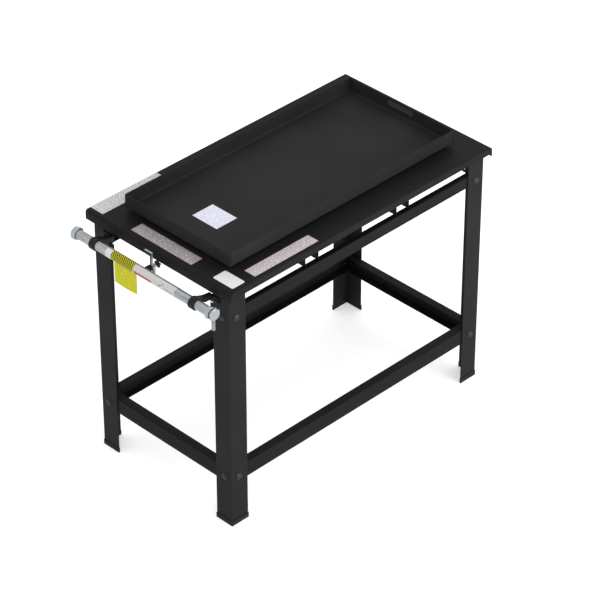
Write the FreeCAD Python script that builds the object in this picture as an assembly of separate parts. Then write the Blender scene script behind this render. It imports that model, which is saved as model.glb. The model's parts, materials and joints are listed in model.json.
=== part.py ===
import FreeCAD, Part
import math
import os

# Forge table: an angle-leg bench with a folded steel top, a lift-out hearth pan and a gas manifold pipe
# carried off its left end.
#
# Millimetres, +Z up. X runs along the table and Y across it; the manifold hangs off the -X end and its
# inlet fitting is at the -Y end. Everything is drawn about the middle of the four feet, on the floor, and
# export() moves it so that the origin is on the floor under the middle of the whole object, manifold
# included.

V = FreeCAD.Vector

# ---------------------------------------------------------------- driving dimensions
TABLE_X = 34.0              # the feet's middle, from the origin
# Legs: equal angle, with the corner of the angle outwards
LEG_SPAN_X = 980.0          # outside to outside along the table
LEG_SPAN_Y = 520.0          # outside to outside across the table
LEG_FLANGE = 60.0
LEG_WALL = 3.0
# Foot boots
BOOT_WALL = 1.5             # how far a boot stands proud of its leg
BOOT_HEIGHT = 16.0
BOOT_BASE = 4.0             # under the leg's end
# Table top: one folded sheet
TOP_HEIGHT = 789.0          # floor to the working face
TOP_OVERHANG_X = 11.0       # past the legs at each end
TOP_OVERHANG_Y = 21.0       # past the legs at each side
TOP_SHEET = 2.0
SIDE_SKIRT = 22.0           # folded down along the long sides
END_SKIRT = 31.0            # folded down along the ends
SIDE_BEND = 3.5             # outside radius of a fold
END_BEND = 11.0
# Cross-members: inverted channels that carry the top on the upper rails
CROSS_DEPTH = 76.0
CROSS_WIDTH = 51.0
CROSS_WALL = 2.0
CROSS_OFFSET = 175.0        # from the middle of the table
CROSS_INSET = 10.0          # of its ends from the legs' outer faces
# Rails: folded channels, open inwards
RAIL_WALL = 2.0
UPPER_RAIL_FLANGE = 18.0    # depth of the channel, its web included
LOWER_RAIL_FLANGE = 26.5
RAIL_BEND = 3.0             # outside radius of every fold in the rails and cross-members
RAIL_FIT = 0.5              # between a rail's end and the leg flange it faces
UPPER_RAIL_DEPTH = 38.0
LOWER_RAIL_DEPTH = 49.5
LOWER_RAIL_BOTTOM = 137.5
FLANGE_GAP = 3.0            # between the cut-back flanges where rails meet in a corner
END_TAB_REACH = 70.0        # length of an upper rail's folded end tab
TAB_HOLE = 7.0              # spare hole near the tab's free edge
TAB_HOLE_INSET = 6.5
TAB_HOLE_DROP = 26.0        # below the upper rail's top
# Frame bolts: flanged hexagon heads, plain washers and hexagon nuts
BOLT = 8.0
BOLT_FIT = 0.3              # clearance all round in its hole
BOLT_INSET = 27.0           # from the leg's corner
UPPER_BOLT_DROP = 25.0      # below the upper rail's top
LOWER_BOLT_RISE = 21.5      # above the lower rail's bottom
BOLT_HEAD = 20.5            # mushroom head
BOLT_HEAD_HEIGHT = 4.8
BOLT_HEAD_EDGE = 0.8        # straight rim under the dome
BOLT_NECK = 4.6             # length of the square neck under the head
NUT_ACROSS_FLATS = 13.0
WASHER_DIAMETER = 16.0
WASHER_THICK = 1.6
NUT_HEIGHT = 6.5
BOLT_PROUD = 3.0            # thread past the nut
# Hearth pan
PAN_LENGTH = 857.0
PAN_WIDTH = 403.0
PAN_HEIGHT = 45.0
PAN_SHEET = 2.0
PAN_BEND = 8.0              # outside radius between floor and walls
PAN_SEAM = 2.5              # seam left between a side wall and the end wall that it meets
PAN_RETURN = 14.0           # length of an end wall's tabs, folded in behind the side walls
PAN_SLOT_LENGTH = 97.0      # hand slot in the right-hand end wall
PAN_SLOT_HEIGHT = 16.0
PAN_SLOT_DROP = 15.5        # of its centre below the rim
PAN_FOOT_HEIGHT = 5.5
PAN_FOOT_DIAMETER = 24.0
PAN_FOOT_INSET_X = 60.0     # of the feet from the pan's outer walls
PAN_FOOT_INSET_Y = 45.0
# Stickers: lengths and widths, and their places from the edges of the table top or the pan
STICKER = 0.3               # thickness
BACK_STICKER_LENGTH = 241.0
BACK_STICKER_WIDTH = 50.0
BACK_STICKER_INSET_X = 16.0
BACK_STICKER_INSET_Y = 2.0
LEFT_STICKER_LENGTH = 233.0
LEFT_STICKER_WIDTH = 41.0
LEFT_STICKER_INSET_X = 19.0
LEFT_STICKER_Y = 4.5        # of its middle, from the table's
FRONT_STICKER_LENGTH = 234.0
FRONT_STICKER_WIDTH = 40.0
FRONT_STICKER_INSET_X = 99.0
FRONT_STICKER_INSET_Y = 13.0
CORNER_STICKER_LENGTH = 74.0
CORNER_STICKER_WIDTH = 46.0
CORNER_STICKER_INSET_X = 19.0
CORNER_STICKER_INSET_Y = 14.0
CORNER_STICKER_ROUND = 5.0
PAN_STICKER_LENGTH = 95.0
PAN_STICKER_WIDTH = 76.0
PAN_STICKER_INSET_X = 100.5
PAN_STICKER_Y = 0.5         # of its middle, from the pan's
# Manifold pipe: 3/4 inch
PIPE = 26.7
PIPE_BORE = 20.9
PIPE_OFFSET = 60.0          # axis to the legs' end faces
PIPE_DROP = 45.5            # axis below the working face
# Cap on the +Y end of the pipe
CAP_FACE_PAST_LEGS = 9.0   # outer face, past the legs' back faces
CAP_LENGTH = 15.0
CAP_END_WALL = 4.0
CAP_ACROSS_FLATS = 34.0
# Inlet fitting on the -Y end of the pipe
INLET_FACE_PAST_LEGS = 12.5  # outer face, past the legs' front faces
INLET_HEX_LENGTH = 3.5
INLET_WAIST_LENGTH = 7.5
INLET_WAIST = 26.0
INLET_ACROSS_FLATS = 33.0
INLET_END_WALL = 2.5
COLLAR_LENGTH = 12.0
COLLAR_ACROSS_FLATS = 33.0
SEAL_LENGTH = 2.0           # ring clamped between the inlet and the pipe's end
HEX_FACE = 0.98             # circle left on a chamfered hexagon's end, as a share of the flats
HEX_SLOPE = 1.8             # radius lost per millimetre of its chamfer
NIPPLE = 10.3               # 1/8 inch pipe
NIPPLE_BORE = 6.8
NIPPLE_SHANK = 9.6          # in the inlet's socket, above the relief groove
NIPPLE_RELIEF = 0.5         # groove left under the lower corner of the hexagons
NIPPLE_END_DROP = 49.5      # lower end below the pipe's axis
# Hangers: hooks round the pipe, footed on the legs' end faces
HANGER_FRONT_INSET = 64.0   # middle of the front hook, from the legs' front faces
HANGER_BACK_INSET = 71.5    # middle of the back hook, from the legs' back faces
HANGER_WIDTH = 19.0
HOOK_BAR = 4.0              # thickness round the pipe
HANGER_FIT = 0.1            # between the hook and the pipe
HOOK_START = 260.0          # degrees, just under the pipe
TOP_LEAVE = 60.0            # degrees, where the upper face leaves the round for the leg
UNDER_LEAVE = 30.0          # degrees, where the under face does
UNDER_DROP = 8.0            # of the level under face, below the pipe's axis
FOOT_THICK = 4.5
FOOT_THROAT = 6.0           # radius between the under face and the foot
FOOT_DROP = 20.5            # lower edge of the foot, below the pipe's axis
FOOT_EDGE_INSET = 35.0      # of the foot's outer edge from the legs' side faces
FOOT_CORNER = 5.0
SCREW = 6.0
SCREW_FIT = 0.3
SCREW_HEAD = 11.0
SCREW_HEAD_HEIGHT = 3.6
SCREW_HEAD_ROUND = 1.6
SCREW_INSET = 9.5           # from the foot's outer edge
SCREW_RISE = 9.0            # above the foot's lower edge
SCREW_NUT_ACROSS_FLATS = 10.0
SCREW_NUT_HEIGHT = 5.0
SCREW_PROUD = 1.5
# Gas valve behind the pipe, at mid-width of the table
VALVE_RISE = 3.0            # its axis above the pipe's
HUB_DIAMETER = 18.0
HUB_LENGTH = 13.5           # from the pipe's back
SPIGOT = 8.0
VALVE_BODY_THICK = 6.0
VALVE_BODY_WIDTH = 10.0
VALVE_BODY_ABOVE = 7.0      # above the valve's axis
VALVE_BODY_BELOW = 22.0
LEVER_THICK = 6.0
LEVER_WIDTH = 6.0
LEVER_BOSS = 15.0
LEVER_RISE = 45.0           # top of the arm above the axis
LEVER_BELOW = 8.0
LEVER_ARM = 28.0
RUN_FIT = 0.05              # radial, shaft in bore
FACE_FIT = 0.3              # between faces that slide past each other
STEM = 5.0
STEM_IN_BODY = 5.0
STEM_TO_KNOB = 8.5
KNOB_DIAMETER = 22.5
KNOB_THICK = 7.0
KNOB_LOBES = 5
KNOB_LOBE = 7.5             # diameter of one lobe
KNOB_NECK = 8.0             # collar behind the knob
KNOB_NECK_LENGTH = 3.0
# Bands round the pipe, from the +Y end to the -Y end, and the tag that hangs from the yellow one
BAND = 0.5                  # thickness
BAND_START = 136.0          # first edge, from mid-width towards +Y
PLAIN_BAND_LENGTH = 22.0
HATCHED_BAND_LENGTH = 87.0
LONG_BAND_LENGTH = 158.0
TAG_THICK = 0.8
TAG_LENGTH = 87.5
TAG_BACK = 106.0            # its +Y edge, from mid-width
TAG_HEIGHT = 65.0
TAG_OFFSET = 8.0            # outwards of the pipe's axis

# ---------------------------------------------------------------- derived dimensions
HALF_X = LEG_SPAN_X / 2.0
HALF_Y = LEG_SPAN_Y / 2.0
TOP_HALF_X = HALF_X + TOP_OVERHANG_X
TOP_HALF_Y = HALF_Y + TOP_OVERHANG_Y
TOP_UNDERSIDE = TOP_HEIGHT - TOP_SHEET
UPPER_RAIL_TOP = TOP_UNDERSIDE - CROSS_DEPTH
UPPER_BOLT_Z = UPPER_RAIL_TOP - UPPER_BOLT_DROP
LOWER_BOLT_Z = LOWER_RAIL_BOTTOM + LOWER_BOLT_RISE
PIPE_X = -HALF_X - PIPE_OFFSET
PIPE_Z = TOP_HEIGHT - PIPE_DROP
CAP_FACE_Y = HALF_Y + CAP_FACE_PAST_LEGS
INLET_FACE_Y = -HALF_Y - INLET_FACE_PAST_LEGS
PAN_BASE = TOP_HEIGHT + PAN_FOOT_HEIGHT
INLET_LENGTH = INLET_HEX_LENGTH + INLET_WAIST_LENGTH
FOOT_EDGE_Y = HALF_Y - FOOT_EDGE_INSET
VALVE_Z = PIPE_Z + VALVE_RISE


# ---------------------------------------------------------------- small tools
def box(x0, x1, y0, y1, z0, z1):
    """A box between two corners given in any order."""
    low = V(min(x0, x1), min(y0, y1), min(z0, z1))
    return Part.makeBox(abs(x1 - x0), abs(y1 - y0), abs(z1 - z0), low)


def rod(radius, start, end):
    """A cylinder between two points."""
    run = end - start
    return Part.makeCylinder(radius, run.Length, start, run)


def square_bar(side, start, end):
    """A square prism round a line along X or Y."""
    half = side / 2.0
    along_y = abs(end.y - start.y) > abs(end.x - start.x)
    across = V(half, 0, half) if along_y else V(0, half, half)
    low = start - across
    high = end + across
    return box(low.x, high.x, low.y, high.y, low.z, high.z)


def hexagon(across_flats, start, end, corner_towards):
    """A chamfered hexagonal prism between two points, with one corner towards a direction."""
    run = end - start
    side = V(run).normalize().cross(corner_towards).normalize()
    corner_radius = across_flats / math.sqrt(3.0)
    points = []
    for step in range(7):
        turn = math.radians(30.0 + 60.0 * step)
        points.append(start + corner_towards * (corner_radius * math.sin(turn))
                      + side * (corner_radius * math.cos(turn)))
    prism = Part.Face(Part.makePolygon(points)).extrude(run)
    face = HEX_FACE * across_flats / 2.0
    wide = face + HEX_SLOPE * run.Length
    direction = V(run).normalize()
    for cone_start, cone_direction in ((start, direction), (end, direction * -1.0)):
        prism = prism.common(Part.makeCone(wide, face, run.Length, cone_start, cone_direction))
    return prism


def edges_at(shape, axis, place, along):
    """A block's edges that lie along one axis, at a place on another."""
    found = []
    for edge in shape.Edges:
        run = edge.Vertexes[-1].Point - edge.Vertexes[0].Point
        if abs(getattr(run, along)) > 1e-6 and abs(getattr(edge.CenterOfMass, axis) - place) < 1e-6:
            found.append(edge)
    return found


def in_corner(shape, sign_x, sign_y):
    """Mirrors a shape made for the +X +Y corner into another corner."""
    if sign_x < 0:
        shape = shape.mirror(V(0, 0, 0), V(1, 0, 0))
    if sign_y < 0:
        shape = shape.mirror(V(0, 0, 0), V(0, 1, 0))
    return shape


CORNERS = {
    "front_left": (-1, -1),
    "front_right": (1, -1),
    "back_left": (-1, 1),
    "back_right": (1, 1),
}


def export(shape, node):
    shape.translated(V(TABLE_X, 0, 0)).exportStep("parts/%s.step" % node)


# ---------------------------------------------------------------- frame bolts, made as one place list
def bolt_places():
    """Every frame bolt as (point on the leg's outer face, direction into the leg)."""
    places = []
    for sign_x, sign_y in CORNERS.values():
        along_y = V(0, -sign_y, 0)
        along_x = V(-sign_x, 0, 0)
        for height in (UPPER_BOLT_Z, LOWER_BOLT_Z):
            places.append((V(sign_x * (HALF_X - BOLT_INSET), sign_y * HALF_Y, height), along_y))
            places.append((V(sign_x * HALF_X, sign_y * (HALF_Y - BOLT_INSET), height), along_x))
    return places


def bolt_holes():
    """One cutter for the square holes through leg and rail that keep the bolts from turning."""
    reach = LEG_WALL + RAIL_WALL + 1.0
    holes = [square_bar(BOLT + 2.0 * BOLT_FIT, face - inward, face + inward * reach)
             for face, inward in bolt_places()]
    return Part.makeCompound(holes)


def hanger_screw_places():
    """Each hanger screw as (point on the leg's end face, direction into the leg)."""
    height = PIPE_Z - FOOT_DROP + SCREW_RISE
    y = FOOT_EDGE_Y - SCREW_INSET
    return [(V(-HALF_X, sign * y, height), V(1, 0, 0)) for sign in (-1, 1)]


def hanger_screw_holes():
    """One cutter for the hanger screws' holes through foot and leg."""
    return Part.makeCompound([
        rod(SCREW / 2.0 + SCREW_FIT, face - inward * (FOOT_THICK + 1.0), face + inward * (LEG_WALL + 1.0))
        for face, inward in hanger_screw_places()])


# ---------------------------------------------------------------- frame
def leg(sign_x, sign_y):
    outer = box(HALF_X - LEG_FLANGE, HALF_X, HALF_Y - LEG_FLANGE, HALF_Y, BOOT_BASE, TOP_UNDERSIDE)
    hollow = box(HALF_X - LEG_FLANGE, HALF_X - LEG_WALL, HALF_Y - LEG_FLANGE, HALF_Y - LEG_WALL,
                 BOOT_BASE, TOP_UNDERSIDE)
    shape = in_corner(outer.cut(hollow), sign_x, sign_y)
    shape = shape.cut(bolt_holes()).cut(hanger_screw_holes())
    return shape


def boot(sign_x, sign_y):
    """Moulded shoe: a base under the leg's end, and a wall round its outer faces and free edges only."""
    reach = LEG_FLANGE + BOOT_WALL
    skin = box(HALF_X - reach, HALF_X + BOOT_WALL, HALF_Y - reach, HALF_Y + BOOT_WALL, 0.0, BOOT_HEIGHT)
    skin = skin.cut(box(HALF_X - reach, HALF_X - LEG_WALL, HALF_Y - reach, HALF_Y - LEG_WALL,
                        0.0, BOOT_HEIGHT))
    leg_end = box(HALF_X - LEG_FLANGE, HALF_X, HALF_Y - LEG_FLANGE, HALF_Y, BOOT_BASE, BOOT_HEIGHT)
    leg_end = leg_end.cut(box(HALF_X - LEG_FLANGE, HALF_X - LEG_WALL, HALF_Y - LEG_FLANGE,
                              HALF_Y - LEG_WALL, BOOT_BASE, BOOT_HEIGHT))
    return in_corner(skin.cut(leg_end), sign_x, sign_y)


def channel_along_x(half_length, flange_half_length, flange, bottom, depth, web_y):
    """A folded channel whose web's outer face is at +web_y and whose flanges point to -Y.

    The flanges, with their bends, may stop short of the web's ends.
    """
    top = bottom + depth
    back = web_y - RAIL_WALL
    outer = box(-flange_half_length, flange_half_length, web_y - flange, web_y, bottom, top)
    outer = outer.makeFillet(RAIL_BEND, edges_at(outer, "y", web_y, "x"))
    inner = box(-flange_half_length - 1.0, flange_half_length + 1.0, web_y - flange - 1.0, back,
                bottom + RAIL_WALL, top - RAIL_WALL)
    inner = inner.makeFillet(RAIL_BEND - RAIL_WALL, edges_at(inner, "y", back, "x"))
    channel = outer.cut(inner)
    if half_length > flange_half_length:
        for sign in (-1, 1):
            end = box(sign * flange_half_length, sign * half_length, back, web_y, bottom, top)
            channel = channel.fuse(end)
    return channel.removeSplitter()


def upper_rail(sign_y):
    """Side rail with both ends folded in against the legs' end flanges."""
    web_y = HALF_Y - LEG_WALL
    tab_face = HALF_X - LEG_WALL
    bottom = UPPER_RAIL_TOP - UPPER_RAIL_DEPTH
    flange_end = tab_face - RAIL_WALL - NUT_HEIGHT - WASHER_THICK - BOLT_PROUD
    rail = channel_along_x(tab_face, flange_end, UPPER_RAIL_FLANGE, bottom, UPPER_RAIL_DEPTH, web_y)
    for sign_x in (-1, 1):
        tab = box(sign_x * tab_face, sign_x * (tab_face - RAIL_WALL), web_y - END_TAB_REACH, web_y,
                  bottom, UPPER_RAIL_TOP)
        rail = rail.fuse(tab).removeSplitter()
        rail = rail.makeFillet(RAIL_BEND, [e for e in edges_at(rail, "x", sign_x * tab_face, "z")
                                           if abs(e.CenterOfMass.y - web_y) < 1e-6])
        inside = sign_x * (tab_face - RAIL_WALL)
        rail = rail.makeFillet(RAIL_BEND - RAIL_WALL, [e for e in edges_at(rail, "x", inside, "z")
                                                       if abs(e.CenterOfMass.y - web_y + RAIL_WALL) < 1e-6])
        hole_y = web_y - END_TAB_REACH + TAB_HOLE_INSET
        hole_z = UPPER_RAIL_TOP - TAB_HOLE_DROP
        rail = rail.cut(rod(TAB_HOLE / 2.0, V(sign_x * (tab_face + 1.0), hole_y, hole_z),
                            V(inside - sign_x, hole_y, hole_z)))
    if sign_y < 0:
        rail = rail.mirror(V(0, 0, 0), V(0, 1, 0))
    return rail.cut(bolt_holes())


def lower_side_rail(sign_y):
    half_length = HALF_X - LEG_WALL - RAIL_WALL - RAIL_FIT
    rail = channel_along_x(half_length, half_length, LOWER_RAIL_FLANGE, LOWER_RAIL_BOTTOM,
                           LOWER_RAIL_DEPTH, HALF_Y - LEG_WALL)
    if sign_y < 0:
        rail = rail.mirror(V(0, 0, 0), V(0, 1, 0))
    return rail.cut(bolt_holes())


def lower_end_rail(sign_x):
    half_length = HALF_Y - LEG_WALL - RAIL_FIT
    flange_half_length = HALF_Y - LEG_WALL - LOWER_RAIL_FLANGE - FLANGE_GAP
    rail = channel_along_x(half_length, flange_half_length, LOWER_RAIL_FLANGE, LOWER_RAIL_BOTTOM,
                           LOWER_RAIL_DEPTH, HALF_X - LEG_WALL)
    rail = rail.rotated(V(0, 0, 0), V(0, 0, 1), -90.0)
    # Where the side rail's web ends, the end rail's web passes behind it
    side_webs = [box(HALF_X - LEG_WALL - RAIL_WALL - RAIL_FIT, 0.0,
                     sign * (HALF_Y - LEG_WALL), sign * (HALF_Y - LEG_WALL - RAIL_WALL),
                     LOWER_RAIL_BOTTOM, LOWER_RAIL_BOTTOM + LOWER_RAIL_DEPTH) for sign in (-1, 1)]
    rail = rail.cut(Part.makeCompound(side_webs))
    if sign_x < 0:
        rail = rail.mirror(V(0, 0, 0), V(1, 0, 0))
    return rail.cut(bolt_holes())


def cross_member(sign_x):
    half_length = HALF_Y - CROSS_INSET
    half = CROSS_WIDTH / 2.0
    outer = box(-half, half, -half_length, half_length, UPPER_RAIL_TOP, TOP_UNDERSIDE)
    outer = outer.makeFillet(RAIL_BEND, edges_at(outer, "z", TOP_UNDERSIDE, "y"))
    roof = TOP_UNDERSIDE - CROSS_WALL
    hollow = box(-half + CROSS_WALL, half - CROSS_WALL, -half_length - 1.0, half_length + 1.0,
                 UPPER_RAIL_TOP - 1.0, roof)
    hollow = hollow.makeFillet(RAIL_BEND - CROSS_WALL, edges_at(hollow, "z", roof, "y"))
    return outer.cut(hollow).translated(V(sign_x * CROSS_OFFSET, 0, 0))


def rounded_slab(half_x, half_y, low, high, end_radius, side_radius):
    """A block whose four top edges are rounded, by one radius at the ends and one along the sides."""
    block = box(-half_x, half_x, -half_y, half_y, low, high)
    ends = box(-half_x, half_x, -half_y, half_y, low, high)
    end_edges = [e for e in ends.Edges
                 if abs(e.CenterOfMass.z - high) < 1e-6 and abs(abs(e.CenterOfMass.x) - half_x) < 1e-6]
    side_edges = [e for e in block.Edges
                  if abs(e.CenterOfMass.z - high) < 1e-6 and abs(abs(e.CenterOfMass.y) - half_y) < 1e-6]
    return ends.makeFillet(end_radius, end_edges).common(block.makeFillet(side_radius, side_edges))


def table_top():
    """Folded sheet: deep skirts at the ends, shallow skirts along the sides."""
    low = TOP_HEIGHT - END_SKIRT
    outer = rounded_slab(TOP_HALF_X, TOP_HALF_Y, low, TOP_HEIGHT, END_BEND, SIDE_BEND)
    inner = rounded_slab(TOP_HALF_X - TOP_SHEET, TOP_HALF_Y - TOP_SHEET, low - 1.0, TOP_UNDERSIDE,
                         END_BEND - TOP_SHEET, SIDE_BEND - TOP_SHEET)
    sheet = outer.cut(inner)
    for sign in (-1, 1):
        sheet = sheet.cut(box(-TOP_HALF_X + TOP_SHEET, TOP_HALF_X - TOP_SHEET,
                              sign * (TOP_HALF_Y + 1.0), sign * (TOP_HALF_Y - TOP_SHEET - 1.0),
                              low - 1.0, TOP_HEIGHT - SIDE_SKIRT))
    return sheet


def frame_bolts():
    """Mushroom-head bolts: a low domed head, a square neck in the square holes, and the round shank."""
    dome_rise = BOLT_HEAD_HEIGHT - BOLT_HEAD_EDGE
    dome_radius = ((BOLT_HEAD / 2.0) ** 2 + dome_rise ** 2) / (2.0 * dome_rise)
    grip = LEG_WALL + RAIL_WALL + WASHER_THICK + NUT_HEIGHT + BOLT_PROUD
    bolts = []
    for face, inward in bolt_places():
        crown = face - inward * BOLT_HEAD_HEIGHT
        dome = Part.makeSphere(dome_radius, crown + inward * dome_radius)
        head = rod(BOLT_HEAD / 2.0, face, crown).common(dome)
        neck = square_bar(BOLT, face, face + inward * BOLT_NECK)
        shank = rod(BOLT / 2.0, face, face + inward * grip)
        bolts.append(head.fuse([neck, shank]).removeSplitter())
    return Part.makeCompound(bolts)


def frame_washers():
    washers = []
    for face, inward in bolt_places():
        near = face + inward * (LEG_WALL + RAIL_WALL)
        far = near + inward * WASHER_THICK
        washers.append(rod(WASHER_DIAMETER / 2.0, near, far).cut(rod(BOLT / 2.0 + BOLT_FIT, near, far)))
    return Part.makeCompound(washers)


def frame_nuts():
    nuts = []
    for face, inward in bolt_places():
        near = face + inward * (LEG_WALL + RAIL_WALL + WASHER_THICK)
        far = near + inward * NUT_HEIGHT
        nuts.append(hexagon(NUT_ACROSS_FLATS, near, far, V(0, 0, 1)).cut(rod(BOLT / 2.0, near, far)))
    return Part.makeCompound(nuts)


# ---------------------------------------------------------------- hearth pan
def pan():
    """Folded tray: an end wall's tabs lie behind the side walls, which stop short of it at a seam."""
    half_x = PAN_LENGTH / 2.0
    half_y = PAN_WIDTH / 2.0
    rim = PAN_BASE + PAN_HEIGHT

    def block(inset):
        base = PAN_BASE + inset
        solid = box(-half_x + inset, half_x - inset, -half_y + inset, half_y - inset, base, rim + inset)
        bent = [e for e in solid.Edges if abs(e.CenterOfMass.z - base) < 1e-6]
        return solid.makeFillet(PAN_BEND - inset, bent)

    tray = block(0.0).cut(block(PAN_SHEET))
    for sign_x, sign_y in CORNERS.values():
        x = sign_x * (half_x - PAN_SHEET)
        y = sign_y * (half_y - PAN_SHEET)
        seam = box(x, x - sign_x * PAN_SEAM, y, sign_y * (half_y + 1.0),
                   PAN_BASE + PAN_BEND + PAN_SHEET, rim + 1.0)
        tab = box(x, x - sign_x * PAN_RETURN, y, y - sign_y * PAN_SHEET, PAN_BASE + PAN_BEND, rim)
        tray = tray.cut(seam).fuse(tab).removeSplitter()
    slot_z = rim - PAN_SLOT_DROP
    slot_radius = PAN_SLOT_HEIGHT / 2.0
    run = PAN_SLOT_LENGTH / 2.0 - slot_radius
    cutter = box(half_x - PAN_SHEET - 1.0, half_x + 1.0, -run, run,
                 slot_z - slot_radius, slot_z + slot_radius)
    for sign in (-1, 1):
        cutter = cutter.fuse(rod(slot_radius, V(half_x - PAN_SHEET - 1.0, sign * run, slot_z),
                                 V(half_x + 1.0, sign * run, slot_z)))
    return tray.cut(cutter)


def pan_feet():
    feet = []
    for sign_x, sign_y in CORNERS.values():
        x = sign_x * (PAN_LENGTH / 2.0 - PAN_FOOT_INSET_X)
        y = sign_y * (PAN_WIDTH / 2.0 - PAN_FOOT_INSET_Y)
        feet.append(rod(PAN_FOOT_DIAMETER / 2.0, V(x, y, TOP_HEIGHT), V(x, y, PAN_BASE)))
    return Part.makeCompound(feet)


# ---------------------------------------------------------------- stickers
def sticker(x, y, width, length, base, corner=0.0):
    """A plate from its corner with the lowest X and Y, width along X and length along Y."""
    plate = Part.makeBox(width, length, STICKER, V(x, y, base))
    if corner > 0.0:
        upright = [e for e in plate.Edges if abs(e.CenterOfMass.z - base - STICKER / 2.0) < 1e-6]
        plate = plate.makeFillet(corner, upright)
    return plate


def table_stickers():
    """Four stickers on the left part of the table top's margin."""
    return Part.makeCompound([
        sticker(-TOP_HALF_X + BACK_STICKER_INSET_X, TOP_HALF_Y - BACK_STICKER_INSET_Y - BACK_STICKER_WIDTH,
                BACK_STICKER_LENGTH, BACK_STICKER_WIDTH, TOP_HEIGHT),
        sticker(-TOP_HALF_X + LEFT_STICKER_INSET_X, LEFT_STICKER_Y - LEFT_STICKER_LENGTH / 2.0,
                LEFT_STICKER_WIDTH, LEFT_STICKER_LENGTH, TOP_HEIGHT),
        sticker(-TOP_HALF_X + FRONT_STICKER_INSET_X, -TOP_HALF_Y + FRONT_STICKER_INSET_Y,
                FRONT_STICKER_LENGTH, FRONT_STICKER_WIDTH, TOP_HEIGHT),
        sticker(-TOP_HALF_X + CORNER_STICKER_INSET_X, -TOP_HALF_Y + CORNER_STICKER_INSET_Y,
                CORNER_STICKER_WIDTH, CORNER_STICKER_LENGTH, TOP_HEIGHT, CORNER_STICKER_ROUND),
    ])


def pan_sticker():
    return sticker(-PAN_LENGTH / 2.0 + PAN_STICKER_INSET_X, PAN_STICKER_Y - PAN_STICKER_LENGTH / 2.0,
                   PAN_STICKER_WIDTH, PAN_STICKER_LENGTH, PAN_BASE + PAN_SHEET)


# ---------------------------------------------------------------- manifold
def at_pipe(y):
    return V(PIPE_X, y, PIPE_Z)


def pipe_ends():
    """Y of the pipe's -Y and +Y ends: the face of the seal and the bottom of the cap's socket."""
    return INLET_FACE_Y + INLET_LENGTH + SEAL_LENGTH, CAP_FACE_Y - CAP_END_WALL


def nipple_axis(drop):
    """A point on the nipple's axis, at a drop below the pipe's axis."""
    return at_pipe(INLET_FACE_Y + INLET_HEX_LENGTH + INLET_WAIST_LENGTH / 2.0) - V(0, 0, drop)


def nipple_socket():
    """The nipple's shank, down from the inlet's bore, as a cutter."""
    return rod(NIPPLE_SHANK / 2.0, nipple_axis(0.0), nipple_axis(COLLAR_ACROSS_FLATS))


def manifold_pipe():
    front, back = pipe_ends()
    tube = rod(PIPE / 2.0, at_pipe(front), at_pipe(back)).cut(
        rod(PIPE_BORE / 2.0, at_pipe(front), at_pipe(back)))
    port = rod(SPIGOT / 2.0, on_valve_axis(PIPE_X), on_valve_axis(PIPE_X + PIPE))
    return tube.cut(port)


def pipe_cap():
    near = CAP_FACE_Y - CAP_LENGTH
    cap = hexagon(CAP_ACROSS_FLATS, at_pipe(near), at_pipe(CAP_FACE_Y), V(0, 0, 1))
    return cap.cut(rod(PIPE / 2.0, at_pipe(near - 1.0), at_pipe(CAP_FACE_Y - CAP_END_WALL)))


def pipe_collar():
    """Union nut: it bears on the pipe and covers the seal."""
    front = INLET_FACE_Y + INLET_LENGTH
    back = front + COLLAR_LENGTH
    nut = hexagon(COLLAR_ACROSS_FLATS, at_pipe(front), at_pipe(back), V(0, 0, 1))
    nut = nut.cut(rod(PIPE / 2.0, at_pipe(front - 1.0), at_pipe(back + 1.0)))
    return nut.cut(nipple_socket())


def inlet_seal():
    front, _ = pipe_ends()
    ring = rod(PIPE / 2.0, at_pipe(front - SEAL_LENGTH), at_pipe(front))
    ring = ring.cut(rod(PIPE_BORE / 2.0, at_pipe(front - SEAL_LENGTH), at_pipe(front)))
    return ring.cut(nipple_socket())


def inlet_block():
    """End fitting: a hexagonal face and a round waist, bored from the pipe, with the nipple's socket."""
    step = INLET_FACE_Y + INLET_HEX_LENGTH
    inner = INLET_FACE_Y + INLET_LENGTH
    block = hexagon(INLET_ACROSS_FLATS, at_pipe(INLET_FACE_Y), at_pipe(step), V(0, 0, 1))
    block = block.fuse(rod(INLET_WAIST / 2.0, at_pipe(step), at_pipe(inner))).removeSplitter()
    block = block.cut(rod(PIPE_BORE / 2.0, at_pipe(INLET_FACE_Y + INLET_END_WALL), at_pipe(inner + 1.0)))
    return block.cut(nipple_socket())


def inlet_nipple():
    """Threaded nipple: a shank in the inlet, a relief under the hexagons, and the free end for a hose."""
    corner = max(INLET_ACROSS_FLATS, COLLAR_ACROSS_FLATS) / math.sqrt(3.0)
    free_top = nipple_axis(corner + NIPPLE_RELIEF)
    top = nipple_axis(PIPE_BORE / 2.0)
    bottom = nipple_axis(NIPPLE_END_DROP)
    nipple = rod(NIPPLE / 2.0, bottom, free_top).fuse(rod(NIPPLE_SHANK / 2.0, bottom, top))
    return nipple.removeSplitter().cut(rod(NIPPLE_BORE / 2.0, bottom, top))


# ---------------------------------------------------------------- hangers
def point_at(centre, radius, degrees):
    """A point in the XZ plane, at an angle from +X towards +Z."""
    turn = math.radians(degrees)
    return centre + V(radius * math.cos(turn), 0, radius * math.sin(turn))


def arc(centre, radius, start, end):
    middle = (start + end) / 2.0
    return Part.Arc(point_at(centre, radius, start), point_at(centre, radius, middle),
                    point_at(centre, radius, end)).toShape()


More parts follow.
